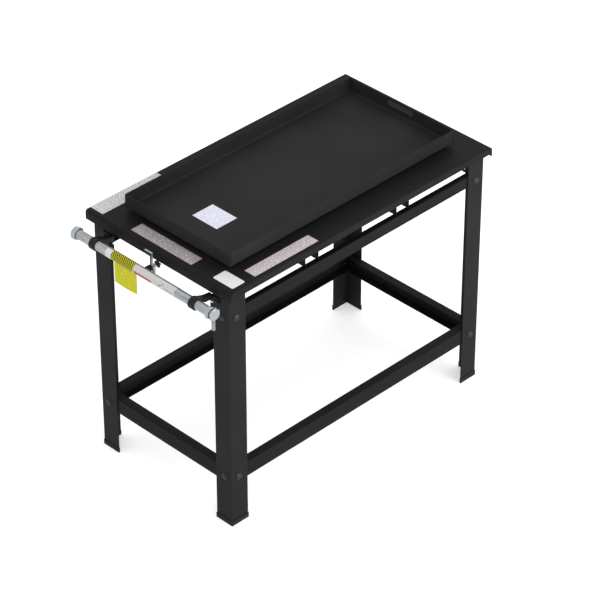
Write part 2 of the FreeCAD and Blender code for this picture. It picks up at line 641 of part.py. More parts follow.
def hanger(sign_y, offset):
    """Hook over the pipe whose tapering shank sweeps down to the leg and is footed on its end face."""
    pipe = V(PIPE_X, 0, PIPE_Z)
    inner = PIPE / 2.0 + HANGER_FIT
    outer = inner + HOOK_BAR
    # The upper face is one arc, tangent to the hook and level where it meets the leg
    top_reach = PIPE_OFFSET / math.cos(math.radians(TOP_LEAVE))
    top_centre = point_at(pipe, top_reach, TOP_LEAVE)
    top_radius = top_reach - outer
    # The under face is another, tangent to the hook's inside and level at its lower end
    rise = math.sin(math.radians(UNDER_LEAVE))
    under_radius = (inner * rise + UNDER_DROP) / (1.0 - rise)
    under_centre = point_at(pipe, inner + under_radius, UNDER_LEAVE)
    throat = V(-HALF_X - FOOT_THICK - FOOT_THROAT, 0, PIPE_Z - UNDER_DROP - FOOT_THROAT)
    foot_low = PIPE_Z - FOOT_DROP
    face_low = V(-HALF_X - FOOT_THICK, 0, foot_low)
    back_low = V(-HALF_X, 0, foot_low)
    back_high = point_at(top_centre, top_radius, 270.0)
    edges = [
        arc(pipe, inner, HOOK_START, UNDER_LEAVE),
        arc(under_centre, under_radius, 180.0 + UNDER_LEAVE, 270.0),
        Part.makeLine(point_at(under_centre, under_radius, 270.0), point_at(throat, FOOT_THROAT, 90.0)),
        arc(throat, FOOT_THROAT, 90.0, 0.0),
        Part.makeLine(point_at(throat, FOOT_THROAT, 0.0), face_low),
        Part.makeLine(face_low, back_low),
        Part.makeLine(back_low, back_high),
        arc(top_centre, top_radius, 270.0, 180.0 + TOP_LEAVE),
        arc(pipe, outer, TOP_LEAVE, HOOK_START),
        Part.makeLine(point_at(pipe, outer, HOOK_START), point_at(pipe, inner, HOOK_START)),
    ]
    profile = Part.Face(Part.Wire(edges))
    bar = profile.extrude(V(0, HANGER_WIDTH, 0)).translated(V(0, offset - HANGER_WIDTH / 2.0, 0))
    # The foot is wider than the hook, towards the leg's corner
    foot = box(-HALF_X - FOOT_THICK, -HALF_X, offset - HANGER_WIDTH / 2.0, FOOT_EDGE_Y, foot_low, PIPE_Z)
    across = [e for e in foot.Edges if e.Length < FOOT_THICK + 1e-6]
    rounded = [e for e in across
               if abs(e.CenterOfMass.z - foot_low) < 1e-6 or abs(e.CenterOfMass.y - FOOT_EDGE_Y) < 1e-6]
    square_corner = box(-HALF_X - FOOT_THICK, -HALF_X, offset - HANGER_WIDTH / 2.0,
                        offset - HANGER_WIDTH / 2.0 + FOOT_CORNER, foot_low, foot_low + FOOT_CORNER)
    foot = foot.makeFillet(FOOT_CORNER, rounded)
    bar = bar.cut(square_corner).fuse(foot).removeSplitter()
    if sign_y < 0:
        bar = bar.mirror(V(0, 0, 0), V(0, 1, 0))
    return bar.cut(hanger_screw_holes())


def hanger_screws():
    screws = []
    for face, inward in hanger_screw_places():
        outside = face - inward * FOOT_THICK
        length = FOOT_THICK + LEG_WALL + SCREW_NUT_HEIGHT + SCREW_PROUD
        head = rod(SCREW_HEAD / 2.0, outside - inward * SCREW_HEAD_HEIGHT, outside)
        rim = [e for e in head.Edges if abs(e.CenterOfMass.x - outside.x + SCREW_HEAD_HEIGHT) < 1e-6
               and len(e.Vertexes) == 1]
        head = head.makeFillet(SCREW_HEAD_ROUND, rim)
        screws.append(head.fuse(rod(SCREW / 2.0, outside, outside + inward * length)).removeSplitter())
    return Part.makeCompound(screws)


def hanger_nuts():
    nuts = []
    for face, inward in hanger_screw_places():
        near = face + inward * LEG_WALL
        far = near + inward * SCREW_NUT_HEIGHT
        nuts.append(hexagon(SCREW_NUT_ACROSS_FLATS, near, far, V(0, 0, 1)).cut(rod(SCREW / 2.0, near, far)))
    return Part.makeCompound(nuts)


# ---------------------------------------------------------------- valve, along X behind the pipe
HUB_END_X = PIPE_X + PIPE / 2.0 + HUB_LENGTH
LEVER_X = HUB_END_X + FACE_FIT
BODY_X = LEVER_X + LEVER_THICK + FACE_FIT
BODY_END_X = BODY_X + VALVE_BODY_THICK
KNOB_X = BODY_END_X + STEM_TO_KNOB


def on_valve_axis(x):
    return V(x, 0, VALVE_Z)


def valve_hub():
    """Boss saddled on the pipe, bored for the valve's spigot."""
    boss = rod(HUB_DIAMETER / 2.0, on_valve_axis(PIPE_X), on_valve_axis(HUB_END_X))
    boss = boss.cut(rod(PIPE / 2.0, at_pipe(-HUB_DIAMETER), at_pipe(HUB_DIAMETER)))
    return boss.cut(rod(SPIGOT / 2.0, on_valve_axis(PIPE_X), on_valve_axis(HUB_END_X + 1.0)))


def valve_body():
    """Block on a spigot that runs through the lever and the hub into the pipe."""
    half = VALVE_BODY_WIDTH / 2.0
    block = box(BODY_X, BODY_END_X, -half, half, VALVE_Z - VALVE_BODY_BELOW, VALVE_Z + VALVE_BODY_ABOVE)
    spigot = rod(SPIGOT / 2.0, on_valve_axis(PIPE_X + PIPE_BORE / 2.0), on_valve_axis(BODY_X + 1.0))
    bore = rod(STEM / 2.0 + RUN_FIT, on_valve_axis(BODY_END_X - STEM_IN_BODY - FACE_FIT),
               on_valve_axis(BODY_END_X + 1.0))
    return block.fuse(spigot).removeSplitter().cut(bore)


def lever():
    """Square bar standing up from the spigot, with its top turned along the table's width."""
    half = LEVER_WIDTH / 2.0
    top = VALVE_Z + LEVER_RISE
    end_x = LEVER_X + LEVER_THICK
    upright = box(LEVER_X, end_x, -half, half, VALVE_Z - LEVER_BELOW, top)
    arm = box(LEVER_X, end_x, -half, LEVER_ARM - half, top - LEVER_WIDTH, top)
    boss = rod(LEVER_BOSS / 2.0, on_valve_axis(LEVER_X), on_valve_axis(end_x))
    shape = upright.fuse([arm, boss]).removeSplitter()
    return shape.cut(rod(SPIGOT / 2.0 + RUN_FIT, on_valve_axis(LEVER_X - 1.0), on_valve_axis(end_x + 1.0)))


def valve_stem():
    return rod(STEM / 2.0, on_valve_axis(BODY_END_X - STEM_IN_BODY), on_valve_axis(KNOB_X))


def star_knob():
    """Lobed hand knob with a short neck towards the valve."""
    lobe = KNOB_LOBE / 2.0
    ring = KNOB_DIAMETER / 2.0 - lobe
    near = on_valve_axis(KNOB_X)
    far = on_valve_axis(KNOB_X + KNOB_THICK)
    shape = rod(ring, near, far)
    for step in range(KNOB_LOBES):
        turn = 2.0 * math.pi * step / KNOB_LOBES + math.pi / 2.0
        offset = V(0, ring * math.cos(turn), ring * math.sin(turn))
        shape = shape.fuse(rod(lobe, near + offset, far + offset))
    neck_start = on_valve_axis(KNOB_X - KNOB_NECK_LENGTH)
    neck = rod(KNOB_NECK / 2.0, neck_start, near).cut(rod(STEM / 2.0, neck_start, near))
    return shape.fuse(neck).removeSplitter()


# ---------------------------------------------------------------- bands and tag on the pipe
def band(back, length):
    """A thin sleeve on the pipe, from one edge at +Y to the other, cut out round the valve's hub."""
    sleeve = rod(PIPE / 2.0 + BAND, at_pipe(back - length), at_pipe(back))
    sleeve = sleeve.cut(rod(PIPE / 2.0, at_pipe(back - length), at_pipe(back)))
    return sleeve.cut(rod(HUB_DIAMETER / 2.0, on_valve_axis(PIPE_X), on_valve_axis(HUB_END_X)))


def hanging_tag():
    """Film tag whose upper edge is caught under the hatched band's own tape."""
    x = PIPE_X - TAG_OFFSET
    reach = PIPE / 2.0 + BAND
    seat = PIPE_Z - math.sqrt(reach ** 2 - TAG_OFFSET ** 2)
    plate = box(x, x + TAG_THICK, TAG_BACK - TAG_LENGTH, TAG_BACK, seat - TAG_HEIGHT, PIPE_Z)
    return plate.cut(rod(reach, at_pipe(TAG_BACK - TAG_LENGTH - 1.0), at_pipe(TAG_BACK + 1.0)))


# ---------------------------------------------------------------- build
def main():
    os.makedirs("parts", exist_ok=True)
    for name, (sign_x, sign_y) in CORNERS.items():
        export(leg(sign_x, sign_y), "leg_" + name)
        export(boot(sign_x, sign_y), "foot_boot_" + name)
    export(table_top(), "table_top")
    for name, sign in (("front", -1), ("back", 1)):
        export(upper_rail(sign), "upper_rail_" + name)
        export(lower_side_rail(sign), "lower_rail_" + name)
    for name, sign in (("left", -1), ("right", 1)):
        export(lower_end_rail(sign), "lower_rail_" + name)
        export(cross_member(sign), "cross_member_" + name)
    export(hanger(-1, HALF_Y - HANGER_FRONT_INSET), "pipe_hanger_front")
    export(hanger(1, HALF_Y - HANGER_BACK_INSET), "pipe_hanger_back")
    export(frame_bolts(), "frame_bolts")
    export(frame_washers(), "frame_washers")
    export(frame_nuts(), "frame_nuts")
    export(pan(), "hearth_pan")
    export(pan_feet(), "pan_feet")
    export(table_stickers(), "table_stickers")
    export(pan_sticker(), "pan_sticker")
    export(manifold_pipe(), "manifold_pipe")
    export(pipe_cap(), "pipe_cap")
    export(pipe_collar(), "pipe_collar")
    export(inlet_seal(), "inlet_seal")
    export(inlet_block(), "inlet_block")
    export(inlet_nipple(), "inlet_nipple")
    export(hanger_screws(), "hanger_screws")
    export(hanger_nuts(), "hanger_nuts")
    export(valve_hub(), "valve_hub")
    export(valve_body(), "valve_body")
    export(lever(), "valve_lever")
    export(valve_stem(), "valve_stem")
    export(star_knob(), "star_knob")
    plain_end = BAND_START - PLAIN_BAND_LENGTH
    hatched_end = plain_end - HATCHED_BAND_LENGTH
    export(band(BAND_START, PLAIN_BAND_LENGTH), "band_plain")
    export(band(plain_end, HATCHED_BAND_LENGTH), "band_hatched")
    export(band(hatched_end, LONG_BAND_LENGTH), "band_long")
    export(hanging_tag(), "hanging_tag")


main()
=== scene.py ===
"""Looks of a forge table: steel bench, lift-out hearth pan and a gas manifold pipe on two hooks.

Everything is in metres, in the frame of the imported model: +Z up, X along the table, Y across it,
with the manifold off the -X end. A size in millimetres has a name that ends in _mm, and mm()
turns it to metres.
"""

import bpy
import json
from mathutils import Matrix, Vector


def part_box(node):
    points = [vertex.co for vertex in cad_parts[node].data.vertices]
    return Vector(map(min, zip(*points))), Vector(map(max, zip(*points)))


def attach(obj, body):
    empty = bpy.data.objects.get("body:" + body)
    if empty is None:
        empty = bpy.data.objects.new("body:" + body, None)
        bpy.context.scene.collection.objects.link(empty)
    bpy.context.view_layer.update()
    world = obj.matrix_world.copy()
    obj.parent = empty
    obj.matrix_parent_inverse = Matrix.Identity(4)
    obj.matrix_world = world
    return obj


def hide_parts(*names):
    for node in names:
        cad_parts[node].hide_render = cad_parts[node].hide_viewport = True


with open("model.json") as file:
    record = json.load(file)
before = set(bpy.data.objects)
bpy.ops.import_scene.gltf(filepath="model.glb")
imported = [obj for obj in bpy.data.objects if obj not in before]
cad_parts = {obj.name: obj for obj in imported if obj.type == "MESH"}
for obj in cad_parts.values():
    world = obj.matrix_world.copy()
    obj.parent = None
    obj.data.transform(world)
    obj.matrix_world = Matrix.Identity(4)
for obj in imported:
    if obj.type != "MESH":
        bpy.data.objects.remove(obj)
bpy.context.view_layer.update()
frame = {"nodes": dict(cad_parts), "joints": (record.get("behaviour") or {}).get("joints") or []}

import json
import logging
import math
from dataclasses import dataclass
from enum import Enum

import bmesh
import bpy
from mathutils import Vector

Form = bmesh.types.BMesh
Ring = list[bmesh.types.BMVert]
Piece = bpy.types.Object
Socket = bpy.types.NodeSocket
Tree = bpy.types.NodeTree
Box = tuple[Vector, Vector]
Inputs = dict[str | int, object]

LOG = logging.getLogger("forge_table")

# A Mix node's sockets for plain values and for colours share their names, so they go by number.
SHARE, VALUE_A, VALUE_B, COLOUR_A, COLOUR_B = 0, 2, 3, 6, 7
VALUE_OUT, COLOUR_OUT = 0, 2
# Nearly all of a noise's values lie between these two.
NOISE_LOW, NOISE_HIGH = 0.3, 0.7
# Points nearer to each other than this are one point.
WELD_MM = 0.001
# Decimals of a metre in which two solids count as level with each other: a tenth of a millimetre.
LEVEL_DIGITS = 4
# Further, in metres, than any place on a film that is wrapped round the pipe.
FAR = 1.0


class Body(Enum):
    """Rigid bodies that a new piece can ride on."""

    TABLE = "table"
    PAN = "pan"
    KNOB = "knob"


class Slot(Enum):
    """Material slots of the record that a new piece can fill."""

    ZINC_PIPE = "galvanised_steel"
    KNOB = "black_knob_plastic"
    WHITE_FILM = "white_vinyl"
    YELLOW_FILM = "yellow_vinyl"


# ---------------------------------------------------------------- small tools
def mm(value: float) -> float:
    """Millimetres to metres."""
    return value / 1000.0


def srgb(colour: str) -> tuple[float, float, float, float]:
    """Turns a colour as seen on a screen to the linear values that shaders use.

    Args:
        colour: An sRGB hex value such as "#2b2b2c".

    Returns:
        Linear red, green, blue and an alpha of 1.
    """
    parts = [int(colour[i:i + 2], 16) / 255.0 for i in (1, 3, 5)]
    linear = [p / 12.92 if p <= 0.04045 else ((p + 0.055) / 1.055) ** 2.4 for p in parts]
    return (*linear, 1.0)


def scale_of(size_mm: float) -> float:
    """Scale of a pattern whose marks are this wide."""
    return 1.0 / mm(size_mm)


def add_node(
    tree: Tree, kind: str, inputs: Inputs | None = None, **settings: object
) -> bpy.types.Node:
    """Adds one shader node.

    Args:
        tree: The material's node tree.
        kind: The node's type name, without the ShaderNode that starts it.
        inputs: What feeds its inputs, by their name or number: a socket, or a plain value.
        settings: Properties of the node.

    Returns:
        The new node.
    """
    node = tree.nodes.new("ShaderNode" + kind)
    for key, value in settings.items():
        setattr(node, key, value)
    for key, value in (inputs or {}).items():
        if isinstance(value, Socket):
            tree.links.new(value, node.inputs[key])
        else:
            node.inputs[key].default_value = value
    return node


def new_piece(name: str, form: Form, materials: list[bpy.types.Material]) -> Piece:
    """Makes an object from a bmesh and frees the bmesh.

    Args:
        name: The piece's name.
        form: The shape, in the model's frame.
        materials: One material per slot index that the faces use.

    Returns:
        The new object, linked to the scene.
    """
    mesh = bpy.data.meshes.new(name)
    bmesh.ops.recalc_face_normals(form, faces=form.faces)
    form.to_mesh(mesh)
    form.free()
    for material in materials:
        mesh.materials.append(material)
    piece = bpy.data.objects.new(name, mesh)
    bpy.context.scene.collection.objects.link(piece)
    return piece


def add_revolved(
    form: Form, start: Vector, axis: Vector, profile: list[tuple[float, float]], steps: int
) -> None:
    """Adds a closed solid of revolution.

    Args:
        form: The bmesh that takes the faces.
        start: Point on the axis where distance along it is nought.
        axis: Unit direction of the axis.
        profile: (distance along the axis, radius) pairs in metres. The first and last radius are
            nought for a closed end; otherwise the profile is joined end to end, as on a tube.
        steps: Number of divisions round the axis.
    """
    side = axis.orthogonal().normalized()
    other = axis.cross(side)
    rings = []
    for along, radius in profile:
        centre = start + axis * along
        if radius == 0.0:
            rings.append([form.verts.new(centre)])
            continue
        ring = []
        for step in range(steps):
            turn = 2.0 * math.pi * step / steps
            out = side * math.cos(turn) + other * math.sin(turn)
            ring.append(form.verts.new(centre + out * radius))
        rings.append(ring)
    pairs = list(zip(rings, rings[1:]))
    if len(rings[0]) > 1:
        pairs.append((rings[-1], rings[0]))
    for near, far in pairs:
        for step in range(steps):
            after = (step + 1) % steps
            if len(near) == 1:
                form.faces.new((near[0], far[step], far[after]))
            elif len(far) == 1:
                form.faces.new((near[step], far[0], near[after]))
            else:
                form.faces.new((near[step], far[step], far[after], near[after]))


def solids_of(node: str) -> list[Box]:
    """Finds the box of each separate solid in a node.

    Args:
        node: The CAD node's name.

    Returns:
        (lowest corner, highest corner) of each solid, ordered by X and then Y.
    """
    form = bmesh.new()
    form.from_mesh(frame["nodes"][node].data)
    bmesh.ops.remove_doubles(form, verts=form.verts, dist=mm(WELD_MM))
    unseen = set(form.verts)
    boxes = []
    while unseen:
        queue = [unseen.pop()]
        solid = []
        while queue:
            vert = queue.pop()
            solid.append(vert.co.copy())
            for edge in vert.link_edges:
                other = edge.other_vert(vert)
                if other in unseen:
                    unseen.remove(other)
                    queue.append(other)
        low = Vector([min(point[i] for point in solid) for i in range(3)])
        high = Vector([max(point[i] for point in solid) for i in range(3)])
        boxes.append((low, high))
    form.free()
    return sorted(boxes, key=lambda box: [round(box[0][i], LEVEL_DIGITS) for i in range(2)])


# ---------------------------------------------------------------- finishes
@dataclass(frozen=True)
class Finish:
    """A surface finish. Each kind lays its own nodes in front of one Principled shader."""

    name: str

    def material(self) -> bpy.types.Material:
        """Gives the finish's material, and makes it on first use.

        Returns:
            The material, which has the finish's name.
        """
        found = bpy.data.materials.get(self.name)
        if found is not None:
            return found
        made = bpy.data.materials.new(self.name)
        made.use_nodes = True
        tree = made.node_tree
        tree.nodes.clear()
        inputs = self.lay(tree, add_node(tree, "TexCoord").outputs["Object"])
        shader = add_node(tree, "BsdfPrincipled", inputs)
        add_node(tree, "OutputMaterial", {"Surface": shader.outputs["BSDF"]})
        return made

    def lay(self, tree: Tree, place: Socket) -> Inputs:
        """Lays the finish's nodes, and returns what feeds the shader's inputs."""
        raise NotImplementedError


@dataclass(frozen=True)
class PowderCoat(Finish):
    """Black polyester powder, baked on steel: even satin, with an orange peel that blurs lights.

    Its IOR is polyester's, 1.5, which is also the shader's own. The powder's matting agent
    scatters nearly all that it would mirror, so its specular level is far below clear polyester's.
    """

    colour: str = "#1b1b1c"
    cloud: str = "#202021"
    roughness_low: float = 0.42
    roughness_high: float = 0.56
    specular: float = 0.06
    peel_mm: float = 1.8            # orange peel has waves 1 to 3 mm long
    peel_height_mm: float = 0.018
    cloud_mm: float = 140.0         # handling and dust dull it over a hand's width
    cloud_from: float = 0.35
    cloud_to: float = 0.65

    def lay(self, tree: Tree, place: Socket) -> Inputs:
        """Lays a fine peel for bump and gloss, and a slow drift of tone.

        Args:
            tree: The material's node tree.
            place: Position on the object, in metres.

        Returns:
            What feeds the shader's inputs.
        """
        peel = add_node(tree, "TexNoise", {"Vector": place, "Scale": scale_of(self.peel_mm),
                                           "Detail": 2.0}).outputs["Fac"]
        drift = add_node(tree, "TexNoise", {"Vector": place, "Scale": scale_of(self.cloud_mm),
                                            "Detail": 4.0}).outputs["Fac"]
        share = add_node(tree, "MapRange", {"Value": drift, "From Min": self.cloud_from,
                                            "From Max": self.cloud_to}).outputs["Result"]
        tone = add_node(tree, "Mix", {SHARE: share, COLOUR_A: srgb(self.colour),
                                      COLOUR_B: srgb(self.cloud)}, data_type="RGBA")
        gloss = add_node(tree, "MapRange", {
            "Value": peel, "From Min": NOISE_LOW, "From Max": NOISE_HIGH,
            "To Min": self.roughness_low, "To Max": self.roughness_high})
        bump = add_node(tree, "Bump", {"Height": peel, "Distance": mm(self.peel_height_mm)})
        return {"Base Color": tone.outputs[COLOUR_OUT], "Roughness": gloss.outputs["Result"],
                "Normal": bump.outputs["Normal"], "Specular IOR Level": self.specular}


@dataclass(frozen=True)
class DrawnMetal(Finish):
    """Bare or plated metal: spangle or grain in patches, and fine lines along its drawing.

    Drawing lines are 0.05 to 0.2 mm apart, which is too fine to show, so they are drawn coarser,
    as the broad streaks that they blend to from a step away.
    """

    colour: str = "#a9adb1"
    patch: str = "#9a9fa4"
    roughness_low: float = 0.30
    roughness_high: float = 0.45
    patch_mm: float = 7.0           # zinc spangle is 3 to 10 mm wide, plating grain finer
    patch_share: float = 0.3
    line_mm: float = 0.7
    line_length_mm: float = 60.0
    line_height_mm: float = 0.010
    streak_from: float = 0.38
    streak_to: float = 0.62
    metallic: float = 1.0

    def lay(self, tree: Tree, place: Socket) -> Inputs:
        """Lays patches and streaks for tone, and the streaks along Y for gloss and bump.

        Args:
            tree: The material's node tree.
            place: Position on the object, in metres.

        Returns:
            What feeds the shader's inputs.
        """
        cells = add_node(tree, "TexVoronoi", {"Vector": place, "Scale": scale_of(self.patch_mm)})
        cell = add_node(tree, "SeparateColor", {"Color": cells.outputs["Color"]})
        across, along = scale_of(self.line_mm), scale_of(self.line_length_mm)
        stretched = add_node(tree, "Mapping", {"Vector": place, "Scale": (across, along, across)})
        lines = add_node(tree, "TexNoise", {"Vector": stretched.outputs["Vector"], "Scale": 1.0,
                                            "Detail": 3.0}).outputs["Fac"]
        gloss = add_node(tree, "MapRange", {
            "Value": lines, "From Min": NOISE_LOW, "From Max": NOISE_HIGH,
            "To Min": self.roughness_low, "To Max": self.roughness_high})
        streak = add_node(tree, "MapRange", {"Value": lines, "From Min": self.streak_from,
                                             "From Max": self.streak_to}).outputs["Result"]
        share = add_node(tree, "Mix", {SHARE: self.patch_share, VALUE_A: streak,
                                       VALUE_B: cell.outputs["Red"]}, data_type="FLOAT")
        tone = add_node(tree, "Mix", {SHARE: share.outputs[VALUE_OUT],
                                      COLOUR_A: srgb(self.colour),
                                      COLOUR_B: srgb(self.patch)}, data_type="RGBA")
        bump = add_node(tree, "Bump", {"Height": lines, "Distance": mm(self.line_height_mm)})
        return {"Base Color": tone.outputs[COLOUR_OUT], "Roughness": gloss.outputs["Result"],
                "Normal": bump.outputs["Normal"], "Metallic": self.metallic}


@dataclass(frozen=True)
class PlateWithPaintedShade(DrawnMetal):
    """Plate of bright metal, with painted shade that darkens its two broad faces, across X, between
    bright edges.
    """

    face: str = "#303134"
    # Colour of the painted shade on the broad faces.
    broad: float = 0.7              # least share of X in the normal of a broad face

    def lay(self, tree: Tree, place: Socket) -> Inputs:
        """Lays the metal of the edges, and painted shade, a darker tone, on the broad faces.

        Args:
            tree: The material's node tree.
            place: Position on the object, in metres.

        Returns:
            What feeds the shader's inputs.
        """
        inputs = super().lay(tree, place)
        outward = add_node(tree, "TexCoord").outputs["Normal"]
        facing = add_node(tree, "SeparateXYZ", {"Vector": outward}).outputs["X"]
        sideways = add_node(tree, "Math", {0: facing}, operation="ABSOLUTE").outputs[0]
        # The faces across X get the painted shade.
        in_painted_shade = add_node(tree, "Math", {0: sideways, 1: self.broad}, operation="GREATER_THAN")
        tone = add_node(tree, "Mix", {SHARE: in_painted_shade.outputs[0], COLOUR_A: inputs["Base Color"],
                                      COLOUR_B: srgb(self.face)}, data_type="RGBA")
        return inputs | {"Base Color": tone.outputs[COLOUR_OUT]}


@dataclass(frozen=True)
class Moulded(Finish):
    """Moulded rubber or plastic: one colour through, with the grain of its mould.

    A spark-eroded mould leaves a grain of 0.1 to 0.3 mm, too fine to show, so it is drawn coarser.
    """

    colour: str = "#1c1c1d"
    scuff: str = "#242425"
    roughness_low: float = 0.45
    roughness_high: float = 0.6
    grain_mm: float = 0.8
    grain_height_mm: float = 0.02
    scuff_grains: float = 12.0      # width of a scuff, in grains
    ior: float = 1.49
    specular: float = 0.5

    def lay(self, tree: Tree, place: Socket) -> Inputs:
        """Lays the mould's grain for bump, and patches of scuffed tone.

        Args:
            tree: The material's node tree.
            place: Position on the object, in metres.

        Returns:
            What feeds the shader's inputs.
        """
        grain = add_node(tree, "TexNoise", {"Vector": place, "Scale": scale_of(self.grain_mm),
                                            "Detail": 3.0}).outputs["Fac"]
        scuffs = add_node(tree, "TexNoise", {
            "Vector": place, "Scale": scale_of(self.scuff_grains * self.grain_mm),
            "Detail": 5.0}).outputs["Fac"]
        tone = add_node(tree, "Mix", {SHARE: scuffs, COLOUR_A: srgb(self.colour),
                                      COLOUR_B: srgb(self.scuff)}, data_type="RGBA")
        gloss = add_node(tree, "MapRange", {"Value": scuffs, "To Min": self.roughness_low,
                                            "To Max": self.roughness_high})
        bump = add_node(tree, "Bump", {"Height": grain, "Distance": mm(self.grain_height_mm)})
        return {"Base Color": tone.outputs[COLOUR_OUT], "Roughness": gloss.outputs["Result"],
                "Normal": bump.outputs["Normal"], "IOR": self.ior,
                "Specular IOR Level": self.specular}


@dataclass(frozen=True)
class Film(Finish):
    """Vinyl film in its own colour or a solid ink: low gloss, with the ripple of hand laying."""

    colour: str = "#ece9ea"
    faded: str = "#e2dfe2"
    roughness: float = 0.38
    ripple_mm: float = 14.0         # about a fingertip, which is what pressed it down
    ripple_height_mm: float = 0.05
    fade_mm: float = 5.0
    ior: float = 1.53
    specular: float = 0.25

    def print_over(self, tree: Tree, ground: Socket, place: Socket) -> Socket:
        """Returns the film's own colour, ground, with ink over it. Plain film has none."""
        return ground

    def lay(self, tree: Tree, place: Socket) -> Inputs:
        """Lays ripples for bump, a slight fade, and the ink.

        Args:
            tree: The material's node tree.
            place: Position on the object, in metres.

        Returns:
            What feeds the shader's inputs.
        """
        ripple = add_node(tree, "TexNoise", {"Vector": place, "Scale": scale_of(self.ripple_mm),
                                             "Detail": 1.0}).outputs["Fac"]
        fade = add_node(tree, "TexNoise", {"Vector": place, "Scale": scale_of(self.fade_mm),
                                           "Detail": 4.0}).outputs["Fac"]
        tone = add_node(tree, "Mix", {SHARE: fade, COLOUR_A: srgb(self.colour),
                                      COLOUR_B: srgb(self.faded)}, data_type="RGBA")
        bump = add_node(tree, "Bump", {"Height": ripple, "Distance": mm(self.ripple_height_mm)})
        return {"Base Color": self.print_over(tree, tone.outputs[COLOUR_OUT], place),
                "Roughness": self.roughness, "Normal": bump.outputs["Normal"], "IOR": self.ior,
                "Specular IOR Level": self.specular}


@dataclass(frozen=True)
class LitPanel(Film):
    """White acrylic sheet with light behind it: quite matt, and nearly as bright in a shadow."""

    glow: float = 0.42

    def lay(self, tree: Tree, place: Socket) -> Inputs:
        """Lays the sheet's surface and its light."""
        return super().lay(tree, place) | {"Emission Color": srgb("#ffffff"),
                                           "Emission Strength": self.glow}


@dataclass(frozen=True)
class RuledFilm(Film):
    """Film with rows of broken grey dashes, which say nothing."""

    ink: str = "#77747a"
    rows_along: str = "X"
    rows_across: str = "Y"
    row_mm: float = 3.6             # from one row to the next, as in small print
    row_share: float = 0.55
    dash_mm: float = 5.0
    dash_gaps: float = 0.46

    def print_over(self, tree: Tree, ground: Socket, place: Socket) -> Socket:
        """Lays rows by a remainder across them, broken by a noise along them.

        Args:
            tree: The material's node tree.
            ground: The film's own colour.
            place: Position on the object, in metres.

        Returns:
            The colour with the rows on it.
        """
        axes = add_node(tree, "SeparateXYZ", {"Vector": place}).outputs
        row = add_node(tree, "Math", {0: axes[self.rows_across], 1: scale_of(self.row_mm)},
                       operation="MULTIPLY").outputs[0]
        number = add_node(tree, "Math", {0: row}, operation="FLOOR").outputs[0]
        inside = add_node(tree, "Math", {0: row}, operation="FRACT").outputs[0]
        on_row = add_node(tree, "Math", {0: inside, 1: self.row_share},
                          operation="LESS_THAN").outputs[0]
        run = add_node(tree, "Math", {0: axes[self.rows_along], 1: scale_of(self.dash_mm)},
                       operation="MULTIPLY").outputs[0]
        spot = add_node(tree, "CombineXYZ", {"X": run, "Y": number}).outputs[0]
        noise = add_node(tree, "TexNoise", {"Vector": spot, "Scale": 1.0,
                                            "Detail": 2.0}).outputs["Fac"]
        on_dash = add_node(tree, "Math", {0: noise, 1: self.dash_gaps},
                           operation="GREATER_THAN").outputs[0]
        inked = add_node(tree, "Math", {0: on_row, 1: on_dash}, operation="MULTIPLY").outputs[0]
        mixed = add_node(tree, "Mix", {SHARE: inked, COLOUR_A: ground,
                                       COLOUR_B: srgb(self.ink)}, data_type="RGBA")
        return mixed.outputs[COLOUR_OUT]


@dataclass(frozen=True)
class WrappedFilm(Film):
    """Film wrapped round a pipe that runs along Y."""

    axis_x_m: float = 0.0
    axis_z_m: float = 0.0
    radius_m: float = 0.0

    def round_pipe(self, tree: Tree, place: Socket) -> tuple[Socket, Socket]:
        """Unrolls the pipe.

        Args:
            tree: The material's node tree.
            place: Position on the object, in metres.

        Returns:
            Distance along the pipe, and distance round it, upwards from its outer side.
        """
        axes = add_node(tree, "SeparateXYZ", {"Vector": place}).outputs
        out = add_node(tree, "Math", {0: self.axis_x_m, 1: axes["X"]}, operation="SUBTRACT")
        up = add_node(tree, "Math", {0: axes["Z"], 1: self.axis_z_m}, operation="SUBTRACT")
        turn = add_node(tree, "Math", {0: up.outputs[0], 1: out.outputs[0]}, operation="ARCTAN2")
        arc = add_node(tree, "Math", {0: turn.outputs[0], 1: self.radius_m}, operation="MULTIPLY")
        return axes["Y"], arc.outputs[0]


@dataclass(frozen=True)
class HatchedFilm(WrappedFilm):
    """Wrapped film with slanting lines at an even pitch, crossed by fainter ones."""

    ink: str = "#0b0b05"
    pitch_mm: float = 9.5           # along the pipe
    line_share: float = 0.5
    slope: float = -1.6             # distance along the pipe for each one round it
    crossed: float = 0.15           # strength of the second set of lines

    def slanting(self, tree: Tree, along: Socket, arc: Socket, slope: float) -> Socket:
        """Lays lines at a slant.

        Args:
            tree: The material's node tree.
            along: Distance along the pipe.
            arc: Distance round it.
            slope: Distance along for each one round.

        Returns:
            A socket that is 1 on a line and 0 off it.
        """
        shifted = add_node(tree, "Math", {0: arc, 1: slope, 2: along},
                           operation="MULTIPLY_ADD").outputs[0]
        pitches = add_node(tree, "Math", {0: shifted, 1: scale_of(self.pitch_mm)},
                           operation="MULTIPLY").outputs[0]
        part = add_node(tree, "Math", {0: pitches}, operation="FRACT").outputs[0]
        return add_node(tree, "Math", {0: part, 1: self.line_share},
                        operation="LESS_THAN").outputs[0]

    def print_over(self, tree: Tree, ground: Socket, place: Socket) -> Socket:
        """Lays both sets of lines, the second one fainter.

        Args:
            tree: The material's node tree.
            ground: The film's own colour.
            place: Position on the object, in metres.

        Returns:
            The colour with the lines on it.
        """
        along, arc = self.round_pipe(tree, place)
        first = self.slanting(tree, along, arc, self.slope)
        second = self.slanting(tree, along, arc, -self.slope)
        fainter = add_node(tree, "Math", {0: second, 1: self.crossed}, operation="MULTIPLY")
        inked = add_node(tree, "Math", {0: first, 1: fainter.outputs[0]}, operation="MAXIMUM")
        mixed = add_node(tree, "Mix", {SHARE: inked.outputs[0], COLOUR_A: ground,
                                       COLOUR_B: srgb(self.ink)}, data_type="RGBA")
        return mixed.outputs[COLOUR_OUT]


